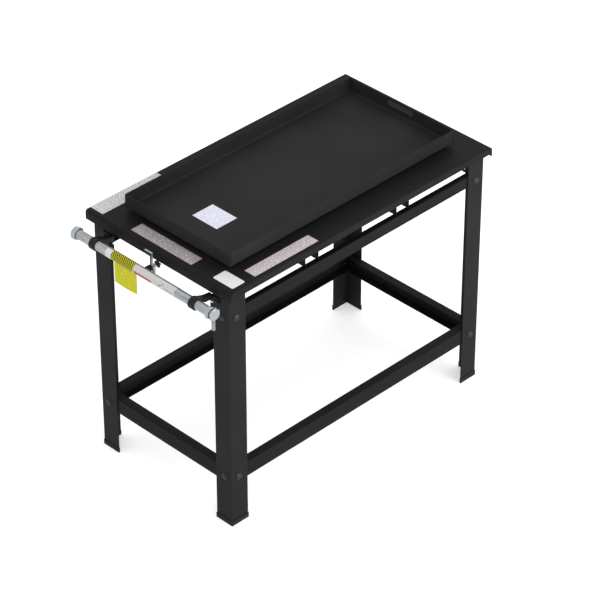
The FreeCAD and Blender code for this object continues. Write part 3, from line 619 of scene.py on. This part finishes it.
@dataclass(frozen=True)
class DashedFilm(WrappedFilm):
    """Wrapped film with small grey dashes low on its outer side, and a darker grey over its upper
    back.
    """

    dashes: str = "#807d83"
    dash_mm: float = 3.2
    dash_gaps: float = 0.6
    dashes_below_mm: float = 5.0    # above the middle of the pipe's outer side
    darker_upper_back: str = "#6e7174"
    darker_upper_back_from_mm: float = 22.0       # round from the outer side, behind the pipe's top

    def within(self, tree: Tree, *limits: tuple[Socket, float, float]) -> Socket:
        """Tells where several values all lie within their own limits.

        Args:
            tree: The material's node tree.
            limits: (socket, lowest, highest) of each value, in metres.

        Returns:
            A socket that is 1 where they do and 0 elsewhere.
        """
        result = None
        for socket, lowest, highest in limits:
            middle, reach = (lowest + highest) / 2.0, (highest - lowest) / 2.0
            inside = add_node(tree, "Math", {0: socket, 1: middle, 2: reach},
                              operation="COMPARE").outputs[0]
            if result is not None:
                inside = add_node(tree, "Math", {0: result, 1: inside},
                                  operation="MULTIPLY").outputs[0]
            result = inside
        return result

    def marks(self, tree: Tree, along: Socket, arc: Socket) -> list[tuple[Socket, str]]:
        """Returns (socket that is 1 on it, ink) of each larger mark. Plain film has none."""
        return []

    def print_over(self, tree: Tree, ground: Socket, place: Socket) -> Socket:
        """Lays the dashes, then the larger marks, then the darker upper back.

        Args:
            tree: The material's node tree.
            ground: The film's own colour.
            place: Position on the object, in metres.

        Returns:
            The colour with all of them on it.
        """
        along, arc = self.round_pipe(tree, place)
        fine = add_node(tree, "TexNoise", {"Vector": place, "Scale": scale_of(self.dash_mm),
                                           "Detail": 1.0}).outputs["Fac"]
        dashes = self.within(tree, (arc, -FAR, mm(self.dashes_below_mm)),
                             (fine, self.dash_gaps, 1.0))
        darker_upper_back = self.within(tree, (arc, mm(self.darker_upper_back_from_mm), FAR))
        marks = self.marks(tree, along, arc)
        colour = ground
        for mask, ink in [(dashes, self.dashes), *marks, (darker_upper_back, self.darker_upper_back)]:
            colour = add_node(tree, "Mix", {SHARE: mask, COLOUR_A: colour, COLOUR_B: srgb(ink)},
                              data_type="RGBA").outputs[COLOUR_OUT]
        return colour


@dataclass(frozen=True)
class BarredFilm(DashedFilm):
    """Dashed film that also has a red bar and a slanting red stroke low on its outer side."""

    ink: str = "#9a2a33"
    far_end_m: float = 0.0          # Y of the film's end away from the inlet
    bar_inset_mm: float = 4.0
    bar_mm: float = 68.0
    bar_low_mm: float = -7.5
    bar_high_mm: float = 1.5
    stroke_past_bar_mm: float = 26.0
    stroke_mm: float = 3.0
    stroke_low_mm: float = -4.0
    stroke_high_mm: float = 11.0
    stroke_slope: float = 1.6       # distance along the pipe for each one round it

    def marks(self, tree: Tree, along: Socket, arc: Socket) -> list[tuple[Socket, str]]:
        """Lays the bar and the stroke.

        Args:
            tree: The material's node tree.
            along: Distance along the pipe.
            arc: Distance round it.

        Returns:
            (socket that is 1 on the mark, ink) of each of the two.
        """
        bar_to = self.far_end_m - mm(self.bar_inset_mm)
        bar_from = bar_to - mm(self.bar_mm)
        bar = self.within(tree, (along, bar_from, bar_to),
                          (arc, mm(self.bar_low_mm), mm(self.bar_high_mm)))
        slanted = add_node(tree, "Math", {0: arc, 1: self.stroke_slope, 2: along},
                           operation="MULTIPLY_ADD").outputs[0]
        middle = bar_from - mm(self.stroke_past_bar_mm)
        half = mm(self.stroke_mm) / 2.0
        stroke = self.within(tree, (slanted, middle - half, middle + half),
                             (arc, mm(self.stroke_low_mm), mm(self.stroke_high_mm)))
        return [(bar, self.ink), (stroke, self.ink)]


# Powder coat on the thick legs: satin black, a shade greyer, as painted light for the faces that
# the sky lights.
LEG_COAT = PowderCoat("satin_black_powder_coat_on_angle_with_painted_light", colour="#181819", cloud="#1c1c1d")
# The same powder on the folded rails, made the darkest black as painted shade for the top's shade
# that most of them lie in.
RAIL_COAT = PowderCoat("satin_black_powder_coat_on_rails_with_painted_shade", colour="#141414", cloud="#181818",
                       specular=0.045)
# Powder coat on the wide sheet top: a flatter peel and a slower drift of tone, so it looks smooth.
SHEET_COAT = PowderCoat("satin_black_powder_coat_on_sheet", colour="#171717", cloud="#1b1b1c",
                        peel_mm=1.4, peel_height_mm=0.014, cloud_mm=220.0, specular=0.045)
# Powder coat on the pan: a charcoal that is lighter than the top round it.
PAN_COAT = PowderCoat("satin_black_powder_coat_on_pan", colour="#222223", cloud="#272728",
                      peel_mm=1.4, peel_height_mm=0.014, cloud_mm=220.0, specular=0.035)
# Powder coat on the hooks: a little glossier, so that their round edges catch a thin light.
HOOK_COAT = PowderCoat("black_powder_coat_on_hooks", colour="#17181a", cloud="#1c1d1f",
                       roughness_low=0.36, roughness_high=0.46, specular=0.1)
# Moulded rubber boots: dead matt black, with scuffs that are only slightly paler.
BOOT_RUBBER = Moulded("moulded_black_rubber", colour="#1b1b1b", scuff="#222222",
                      roughness_low=0.65, roughness_high=0.8, specular=0.1)
# Moulded nylon: jet black, with a soft highlight on each lobe of the knob.
KNOB_PLASTIC = Moulded("moulded_black_nylon", colour="#101011", scuff="#161617", specular=0.3)
# Black ring in the joint of the end fitting: its black is painted shade for the groove between the
# fittings, seen as a thin dark line.
JOINT_SHADE_RING = Moulded("black_ring_as_painted_shade_in_joint", colour="#1a1a1a", scuff="#202020")
# Oiled black oxide on small steel parts: near black, with a dim sheen where the light is open.
BLACK_OXIDE = DrawnMetal("black_oxide_steel", colour="#282829", patch="#202021",
                         roughness_low=0.42, roughness_high=0.55, patch_mm=2.5, line_mm=0.5,
                         line_length_mm=2.0)
# Blackened, worn bolt heads: dark grey domes that stand out a little from the coat round them.
BOLT_HEAD = DrawnMetal("blackened_mushroom_bolt", colour="#3b3b3c", patch="#343435",
                       roughness_low=0.48, roughness_high=0.6, patch_mm=2.5, line_mm=0.5,
                       line_length_mm=2.0)
# Galvanised pipe: cool grey spangle, with long pale and dark streaks along it.
GALVANISED = DrawnMetal("galvanised_pipe", colour="#a9acaf", patch="#76797c", line_mm=5.0,
                        line_length_mm=160.0)
# Zinc plate on cast and turned fittings: an even light grey with a small bright grain.
ZINC_FITTING = DrawnMetal("zinc_plated_fitting", colour="#a6aaad", patch="#8e9295", patch_mm=3.0,
                          line_length_mm=3.0)
# Zinc plate on drawn bar: the same grey, with short streaks.
ZINC_BAR = DrawnMetal("zinc_plated_bar", colour="#a0a3a6", patch="#8d9093", patch_mm=3.0,
                      line_length_mm=10.0)
# The lever: painted shade makes its broad faces black between bright metal edges, so it reads as a
# thin bright outline.
LEVER_PLATE = PlateWithPaintedShade("zinc_plate_with_painted_shade_on_faces", colour="#a6a8ab", patch="#949699", patch_mm=3.0,
                       line_length_mm=10.0)
# Bare vinyl on the front corner: a clean, cool off-white.
CORNER_FILM = Film("white_vinyl_film", colour="#cfced0", faded="#c7c6c9")
# Screen-printed red ink that has faded: a thin dusty pink line round three of the labels.
BORDER_INK = Film("faded_red_ink_on_vinyl", colour="#a06a70", faded="#946067")
# Printed vinyl on the back margin: off-white, and light grey as a whole under its fine rows.
BACK_FILM = RuledFilm("grey_white_ruled_film", colour="#cccbcd", faded="#c2c1c4", ink="#8c8a8f")
# Printed vinyl on the left margin: its dense dark rows make it the greyest of the labels.
LEFT_FILM = RuledFilm("warm_white_ruled_film", colour="#cbc3c4", faded="#c0b8ba", ink="#605d60",
                      rows_along="Y", rows_across="X", row_share=0.66, dash_gaps=0.42)
# Printed vinyl on the front margin: off-white with a warm, pinkish cast.
FRONT_FILM = RuledFilm("pale_pink_ruled_film", colour="#d0c7c7", faded="#c6bdbe", ink="#858186")
# Printed vinyl in the pan: the brightest label, slightly blue, with thin and open rows.
PAN_FILM = RuledFilm("cool_white_ruled_film", colour="#d4d5e1", faded="#cbcddb", ink="#9ea0b0",
                     rows_along="Y", rows_across="X", dash_gaps=0.52)
# Yellow vinyl tag: a strong acid yellow, with low-contrast olive rows and a soft ripple.
TAG_FILM = RuledFilm("yellow_tag_film", colour="#bebb10", faded="#b2af0d", ink="#97940c",
                     rows_along="Y", rows_across="Z", row_mm=8.0, row_share=0.4, dash_mm=14.0,
                     dash_gaps=0.4, ripple_height_mm=0.12, specular=0.12)


# ---------------------------------------------------------------- sub-assemblies
@dataclass
class SubAssembly:
    """Pieces that are made and dressed together."""

    edge_segments: int = 2
    edge_angle_deg: float = 35.0    # least angle between two faces for their edge to be broken

    def build(self) -> None:
        """Makes and dresses the pieces."""
        raise NotImplementedError

    def dress(self, finish: Finish, *nodes: str, edge_mm: float) -> None:
        """Gives CAD nodes a finish and takes the razor edge off them.

        Args:
            finish: The finish of every face.
            nodes: Names of the CAD nodes.
            edge_mm: Width of the broken edge, or nought to leave the edges.
        """
        for node in nodes:
            piece = frame["nodes"][node]
            for slot in piece.material_slots:
                slot.material = finish.material()
            if edge_mm > 0.0:
                weld = piece.modifiers.new("join_faces", "WELD")
                weld.merge_threshold = mm(WELD_MM)
                edge = piece.modifiers.new("broken_edges", "BEVEL")
                edge.width = mm(edge_mm)
                edge.segments = self.edge_segments
                edge.limit_method = "ANGLE"
                edge.angle_limit = math.radians(self.edge_angle_deg)
                edge.use_clamp_overlap = False
                even = piece.modifiers.new("flat_faces_stay_flat", "WEIGHTED_NORMAL")
                even.mode = "FACE_AREA_WITH_ANGLE"
                even.keep_sharp = True
            LOG.info("%s wears %s", node, finish.name)

    def place(self, piece: Piece, body: Body, slot: Slot, *nodes: str) -> None:
        """Puts a new piece on its body in place of CAD nodes.

        Args:
            piece: The new piece.
            body: The body that carries it.
            slot: The record's slot for its finish. It is not used.
            nodes: The CAD nodes that it stands for.
        """
        if nodes:
            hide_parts(*nodes)
        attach(piece, body.value)
        LOG.info("%s stands for %s", piece.name, ", ".join(nodes) or "itself")


@dataclass
class Bench(SubAssembly):
    """Legs, boots, rails, cross-members, sheet top and the fasteners that hold them."""

    coat_edge_mm: float = 0.5
    rubber_edge_mm: float = 0.6
    bolt_edge_mm: float = 0.3

    def build(self) -> None:
        """Dresses every node of the bench."""
        corners = [f"{y}_{x}" for y in ("front", "back") for x in ("left", "right")]
        lower = [f"lower_rail_{side}" for side in ("front", "back", "left", "right")]
        self.dress(LEG_COAT, *[f"leg_{corner}" for corner in corners], edge_mm=self.coat_edge_mm)
        self.dress(BOOT_RUBBER, *[f"foot_boot_{corner}" for corner in corners],
                   edge_mm=self.rubber_edge_mm)
        self.dress(RAIL_COAT, "upper_rail_front", "upper_rail_back", "cross_member_left",
                   "cross_member_right", *lower, edge_mm=self.coat_edge_mm)
        self.dress(SHEET_COAT, "table_top", edge_mm=self.coat_edge_mm)
        self.dress(BOLT_HEAD, "frame_bolts", edge_mm=self.bolt_edge_mm)
        self.dress(BLACK_OXIDE, "frame_washers", "frame_nuts", edge_mm=self.bolt_edge_mm)


@dataclass
class HearthPan(SubAssembly):
    """The folded pan and its feet."""

    edge_mm: float = 0.5

    def build(self) -> None:
        """Dresses the pan and its feet."""
        self.dress(PAN_COAT, "hearth_pan", "pan_feet", edge_mm=self.edge_mm)


@dataclass
class Labels(SubAssembly):
    """Labels of film, ruled or bare, three of them with a printed border in a colour of its own."""

    border_mm: float = 0.9
    corner_mm: float = 5.0
    corner_steps: int = 6

    def thicken(self, form: Form, under: float) -> None:
        """Adds a flat label's underside and its sides, which wear what the face above them wears.

        Args:
            form: The label's upper faces.
            under: Height of its underside, in metres.
        """
        rim = [edge for edge in form.edges if edge.is_boundary]
        below = {vert: form.verts.new((vert.co.x, vert.co.y, under)) for vert in form.verts[:]}
        for face in form.faces[:]:
            lower = form.faces.new([below[vert] for vert in face.verts])
            lower.material_index = face.material_index
        for edge in rim:
            first, second = edge.verts
            material_index = edge.link_faces[0].material_index
            side = form.faces.new((first, second, below[second], below[first]))
            side.material_index = material_index

    def bordered(self, name: str, box: Box, ground: Finish, border: Finish) -> Piece:
        """Makes a square-cornered label whose border is a ring of faces of its own.

        Args:
            name: The piece's name.
            box: Its lowest and highest corner.
            ground: Finish of the film.
            border: Finish of the border.

        Returns:
            The label.
        """
        low, high = box
        edge = mm(self.border_mm)
        xs = (low.x, low.x + edge, high.x - edge, high.x)
        ys = (low.y, low.y + edge, high.y - edge, high.y)
        form = bmesh.new()
        grid = [[form.verts.new((x, y, high.z)) for y in ys] for x in xs]
        for i in range(len(xs) - 1):
            for j in range(len(ys) - 1):
                face = form.faces.new((grid[i][j], grid[i + 1][j],
                                       grid[i + 1][j + 1], grid[i][j + 1]))
                face.material_index = 0 if i == j == 1 else 1   # the film, and the ring round it
        self.thicken(form, low.z)
        return new_piece(name, form, [ground.material(), border.material()])

    def rounded(self, name: str, box: Box, ground: Finish) -> Piece:
        """Makes a plain label with rounded corners.

        Args:
            name: The piece's name.
            box: Its lowest and highest corner.
            ground: Finish of the film.

        Returns:
            The label.
        """
        low, high = box
        radius = mm(self.corner_mm)
        left, right = low.x + radius, high.x - radius
        front, back = low.y + radius, high.y - radius
        form = bmesh.new()
        rim = []
        for quarter, (x, y) in enumerate(((right, back), (left, back), (left, front),
                                          (right, front))):
            for step in range(self.corner_steps + 1):
                turn = math.pi / 2.0 * (quarter + step / self.corner_steps)
                rim.append(form.verts.new((x + radius * math.cos(turn),
                                           y + radius * math.sin(turn), high.z)))
        form.faces.new(rim)
        self.thicken(form, low.z)
        return new_piece(name, form, [ground.material()])

    def build(self) -> None:
        """Makes the four labels on the table top and the one in the pan."""
        corner, *margins = sorted(solids_of("table_stickers"),
                                  key=lambda box: (box[1] - box[0]).length)
        back = max(margins, key=lambda box: box[1].y)
        left, front = sorted([box for box in margins if box is not back],
                             key=lambda box: box[1].x - box[0].x)
        made = [
            self.bordered("label_back_margin", back, BACK_FILM, BACK_FILM),
            self.bordered("label_left_margin", left, LEFT_FILM, BORDER_INK),
            self.bordered("label_front_margin", front, FRONT_FILM, BORDER_INK),
            self.rounded("label_front_corner", corner, CORNER_FILM),
        ]
        self.place(made[0], Body.TABLE, Slot.WHITE_FILM, "table_stickers")
        for piece in made[1:]:
            self.place(piece, Body.TABLE, Slot.WHITE_FILM)
        in_pan = self.bordered("label_in_pan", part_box("pan_sticker"), PAN_FILM, BORDER_INK)
        self.place(in_pan, Body.PAN, Slot.WHITE_FILM, "pan_sticker")


@dataclass
class Manifold(SubAssembly):
    """The pipe, its cap and end fitting, the threaded nipple and the two hooks."""

    hook_edge_mm: float = 0.6
    fitting_edge_mm: float = 0.3
    nipple_bore_mm: float = 6.8
    nipple_steps: int = 40
    thread_pitch_mm: float = 0.94
    thread_depth_mm: float = 0.55
    thread_plain_mm: float = 3.0    # left without a thread at the nipple's top
    thread_start_mm: float = 0.05   # by which the first turn is lower than the rest

    def nipple(self) -> Piece:
        """Makes the hose nipple with its thread as turned grooves.

        Returns:
            The nipple.
        """
        low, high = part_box("inlet_nipple")
        foot = Vector(((low.x + high.x) / 2.0, (low.y + high.y) / 2.0, low.z))
        length = high.z - low.z
        bore = mm(self.nipple_bore_mm) / 2.0
        radius = (high.x - low.x) / 2.0
        root = radius - mm(self.thread_depth_mm)
        pitch = mm(self.thread_pitch_mm)
        profile = [(0.0, bore), (0.0, root), (pitch / 2.0, radius - mm(self.thread_start_mm))]
        along = pitch
        while along < length - mm(self.thread_plain_mm):
            profile += [(along, root), (along + pitch / 2.0, radius)]
            along += pitch
        profile += [(length, radius), (length, bore)]
        form = bmesh.new()
        add_revolved(form, foot, Vector((0.0, 0.0, 1.0)), profile, self.nipple_steps)
        return new_piece("threaded_nipple", form, [ZINC_FITTING.material()])

    def build(self) -> None:
        """Dresses the manifold and adds the nipple."""
        self.dress(GALVANISED, "manifold_pipe", edge_mm=0.0)
        self.dress(ZINC_FITTING, "pipe_cap", "pipe_collar", "inlet_block",
                   edge_mm=self.fitting_edge_mm)
        # The ring in the joint is black as painted shade in the groove.
        self.dress(JOINT_SHADE_RING, "inlet_seal", edge_mm=0.0)
        self.dress(HOOK_COAT, "pipe_hanger_front", "pipe_hanger_back", edge_mm=self.hook_edge_mm)
        self.dress(BLACK_OXIDE, "hanger_screws", "hanger_nuts", edge_mm=self.fitting_edge_mm)
        self.place(self.nipple(), Body.TABLE, Slot.ZINC_PIPE, "inlet_nipple")


@dataclass
class Valve(SubAssembly):
    """Hub, body, quarter-turn lever, stem and star knob."""

    edge_mm: float = 0.4
    lobes: int = 5
    lobe_mm: float = 7.5
    waist: float = 0.86             # least radius between two lobes, as a share of their ring's
    round_mm: float = 1.4           # radius of the knob's front and back edge
    round_steps: int = 4
    crown_mm: float = 0.9
    # (size, depth) of each ring of the crown, as shares of the face's size and the crown's height.
    crown_rings: tuple[tuple[float, float], ...] = ((0.6, 0.35), (0.25, 0.0))
    neck_mm: float = 8.0
    neck_length_mm: float = 3.0
    neck_edge_mm: float = 0.5
    neck_sunk_mm: float = 0.5       # by which the neck's end reaches into the knob
    neck_steps: int = 36
    steps: int = 120

    def outline(self, turn: float, size: float) -> float:
        """Radius of the knob's outline.

        Args:
            turn: Angle from the first lobe, in radians.
            size: The knob's outside radius, in metres.

        Returns:
            The radius at that angle, in metres.
        """
        lobe = mm(self.lobe_mm) / 2.0
        ring = size - lobe
        sector = 2.0 * math.pi / self.lobes
        away = abs((turn + sector / 2.0) % sector - sector / 2.0)
        inside = lobe ** 2 - (ring * math.sin(away)) ** 2
        on_lobe = ring * math.cos(away) + math.sqrt(inside) if inside > 0.0 else 0.0
        between = ring * (self.waist + (1.0 - self.waist) * math.cos(self.lobes * away))
        return max(on_lobe, between)

    def ring(self, form: Form, centre: Vector, radii: list[float]) -> Ring:
        """Adds a ring of points round X.

        Args:
            form: The bmesh that takes the points.
            centre: The ring's middle.
            radii: Its radius at each step, from straight up and round towards -Y.

        Returns:
            The points.
        """
        ring = []
        for step, radius in enumerate(radii):
            turn = 2.0 * math.pi * step / len(radii)
            ring.append(form.verts.new((centre.x, centre.y - radius * math.sin(turn),
                                        centre.z + radius * math.cos(turn))))
        return ring

    def knob(self) -> Piece:
        """Makes the star knob: rounded lobes, a crowned face and a neck.

        Returns:
            The knob.
        """
        low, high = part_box("star_knob")
        joint = next(j for j in frame["joints"] if j["name"] == "knob_turn")
        _, y, z = Vector(joint["pos_m"])
        outline = [self.outline(2.0 * math.pi * step / self.steps, high.z - z)
                   for step in range(self.steps)]
        soft = mm(self.round_mm)
        turns = [math.pi / 2.0 * step / self.round_steps for step in range(self.round_steps + 1)]
        rounding = [(soft * (1.0 - math.cos(turn)), soft * (1.0 - math.sin(turn)))
                    for turn in turns]
        near, crown = low.x + mm(self.neck_length_mm), mm(self.crown_mm)
        rows = [(near + deep, inset) for deep, inset in rounding]
        rows += [(high.x - crown - deep, inset) for deep, inset in reversed(rounding)]
        form = bmesh.new()
        rings = [self.ring(form, Vector((x, y, z)), [radius - inset for radius in outline])
                 for x, inset in rows]
        rings += [self.ring(form, Vector((high.x - crown * depth, y, z)),
                            [(radius - soft) * size for radius in outline])
                  for size, depth in self.crown_rings]
        for first, second in zip(rings, rings[1:]):
            for step in range(self.steps):
                after = (step + 1) % self.steps
                form.faces.new((first[step], first[after], second[after], second[step]))
        form.faces.new(rings[0])
        form.faces.new(rings[-1])
        edge, radius = mm(self.neck_edge_mm), mm(self.neck_mm) / 2.0
        end = mm(self.neck_length_mm) + mm(self.neck_sunk_mm)
        add_revolved(form, Vector((low.x, y, z)), Vector((1.0, 0.0, 0.0)),
                     [(0.0, 0.0), (0.0, radius - edge), (edge, radius), (end, radius), (end, 0.0)],
                     self.neck_steps)
        return new_piece("moulded_star_knob", form, [KNOB_PLASTIC.material()])

    def build(self) -> None:
        """Dresses the valve and adds the knob."""
        self.dress(BLACK_OXIDE, "valve_hub", edge_mm=self.edge_mm)
        self.dress(ZINC_BAR, "valve_body", "valve_stem", edge_mm=self.edge_mm)
        self.dress(LEVER_PLATE, "valve_lever", edge_mm=self.edge_mm)
        self.place(self.knob(), Body.KNOB, Slot.KNOB, "star_knob")


@dataclass
class Bands(SubAssembly):
    """Films wrapped round the pipe, and the yellow tag that hangs from one of them."""

    tag_bow_mm: float = 2.5
    tag_rows: int = 20
    tag_columns: int = 24

    def tag_side(self, form: Form, x: float, box: Box) -> list[Ring]:
        """Adds the points of one face of the tag, bowed out more towards its lower edge.

        Args:
            form: The bmesh that takes the points.
            x: The face's place while it is flat.
            box: The tag's lowest and highest corner while it is flat.

        Returns:
            Rows of points, from the upper edge down.
        """
        low, high = box
        grid = []
        for row in range(self.tag_rows + 1):
            down = row / self.tag_rows
            line = []
            for column in range(self.tag_columns + 1):
                share = column / self.tag_columns
                lean = mm(self.tag_bow_mm) * down * math.sin(math.pi * share)
                line.append(form.verts.new((x - lean, low.y + (high.y - low.y) * share,
                                            high.z - (high.z - low.z) * down)))
            grid.append(line)
        return grid

    def tag(self) -> Piece:
        """Makes the hanging tag, slightly bowed from end to end as a film that was rolled.

        Returns:
            The tag.
        """
        low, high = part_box("hanging_tag")
        form = bmesh.new()
        outer, inner = [self.tag_side(form, x, (low, high)) for x in (low.x, high.x)]
        for row in range(self.tag_rows):
            for column in range(self.tag_columns):
                for grid in (outer, inner):
                    form.faces.new((grid[row][column], grid[row][column + 1],
                                    grid[row + 1][column + 1], grid[row + 1][column]))
        for column in range(self.tag_columns):
            for row in (0, self.tag_rows):
                form.faces.new((outer[row][column], outer[row][column + 1],
                                inner[row][column + 1], inner[row][column]))
        for row in range(self.tag_rows):
            for column in (0, self.tag_columns):
                form.faces.new((outer[row][column], outer[row + 1][column],
                                inner[row + 1][column], inner[row][column]))
        return new_piece("bowed_hanging_tag", form, [TAG_FILM.material()])

    def build(self) -> None:
        """Dresses the bands and adds the tag."""
        low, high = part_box("band_long")
        wrap = {"axis_x_m": (low.x + high.x) / 2.0, "axis_z_m": (low.z + high.z) / 2.0,
                "radius_m": (high.z - low.z) / 2.0}
        # White vinyl next to the cap: a cool off-white with a few grey specks.
        plain = DashedFilm("pale_band_with_grey_dashes", colour="#c6c6c8", faded="#bcbcc0", **wrap)
        # White vinyl that has aged: a warmer grey, with two clear red marks.
        barred = BarredFilm("pale_band_with_red_bar", colour="#b8b6b5", faded="#aeacac",
                            far_end_m=high.y, **wrap)
        # The tag's own yellow vinyl, wrapped: black slanting lines make it half yellow, half dark.
        hatched = HatchedFilm("yellow_band_hatched_dark", colour="#bebb10", faded="#b2af0d",
                              specular=0.12, **wrap)
        for finish, node in ((plain, "band_plain"), (barred, "band_long"),
                             (hatched, "band_hatched")):
            self.dress(finish, node, edge_mm=0.0)
        self.place(self.tag(), Body.TABLE, Slot.YELLOW_FILM, "hanging_tag")


@dataclass
class Studio:
    """Pale floor, even sky, one soft light and the camera."""

    floor_m: float = 40.0
    floor_colour: str = "#dadada"
    floor_faded: str = "#d8d8d8"
    camera_place: tuple[float, float, float] = (-4.7454, -4.8100, 5.1751)
    camera_tilt_deg: float = 54.7356
    camera_pan_deg: float = -45.0
    camera_reach_m: float = 100.0
    lens_mm: float = 178.1
    sensor_mm: float = 36.0
    sky_strength: float = 1.25
    key_place: tuple[float, float, float] = (0.8, -6.0, 1.9)
    key_target: tuple[float, float, float] = (0.0, 0.0, 0.5)
    key_side_m: float = 3.0
    key_watts: float = 250.0

    def floor(self) -> None:
        """Lays the floor."""
        form = bmesh.new()
        bmesh.ops.create_grid(form, x_segments=1, y_segments=1, size=self.floor_m / 2.0)
        panel = LitPanel("matt_translucent_studio_floor", colour=self.floor_colour,
                         faded=self.floor_faded, roughness=0.9, specular=0.0)
        new_piece("studio_floor", form, [panel.material()])

    def sky(self) -> None:
        """Puts an even white sky round everything."""
        world = bpy.data.worlds.new("soft_sky")
        world.use_nodes = True
        background = world.node_tree.nodes["Background"]
        background.inputs["Color"].default_value = srgb("#ffffff")
        background.inputs["Strength"].default_value = self.sky_strength
        bpy.context.scene.world = world

    def key_light(self) -> None:
        """Hangs one soft square light that faces the table's middle."""
        lamp = bpy.data.lights.new("key", "AREA")
        lamp.size = self.key_side_m
        lamp.energy = self.key_watts
        stand = bpy.data.objects.new("key", lamp)
        stand.location = self.key_place
        aim = Vector(self.key_target) - Vector(self.key_place)
        stand.rotation_euler = aim.to_track_quat("-Z", "Y").to_euler()
        bpy.context.scene.collection.objects.link(stand)

    def camera(self) -> None:
        """Stands the camera high at the table's front left corner, at 45 degrees to its sides."""
        camera = bpy.data.cameras.new("camera")
        camera.lens = self.lens_mm
        camera.sensor_width = self.sensor_mm
        camera.clip_end = self.camera_reach_m
        stand = bpy.data.objects.new("camera", camera)
        stand.location = self.camera_place
        stand.rotation_euler = (math.radians(self.camera_tilt_deg), 0.0,
                                math.radians(self.camera_pan_deg))
        bpy.context.scene.collection.objects.link(stand)
        bpy.context.scene.camera = stand

    def build(self) -> None:
        """Sets the floor, the sky, the light and the camera."""
        bpy.context.scene.view_settings.view_transform = "Standard"
        self.floor()
        self.sky()
        self.key_light()
        self.camera()


def main() -> None:
    logging.basicConfig(level=logging.INFO, format="%(name)s: %(message)s")
    Studio().build()
    for assembly in (Bench(), HearthPan(), Labels(), Manifold(), Valve(), Bands()):
        assembly.build()


if __name__ == "__main__":
    main()
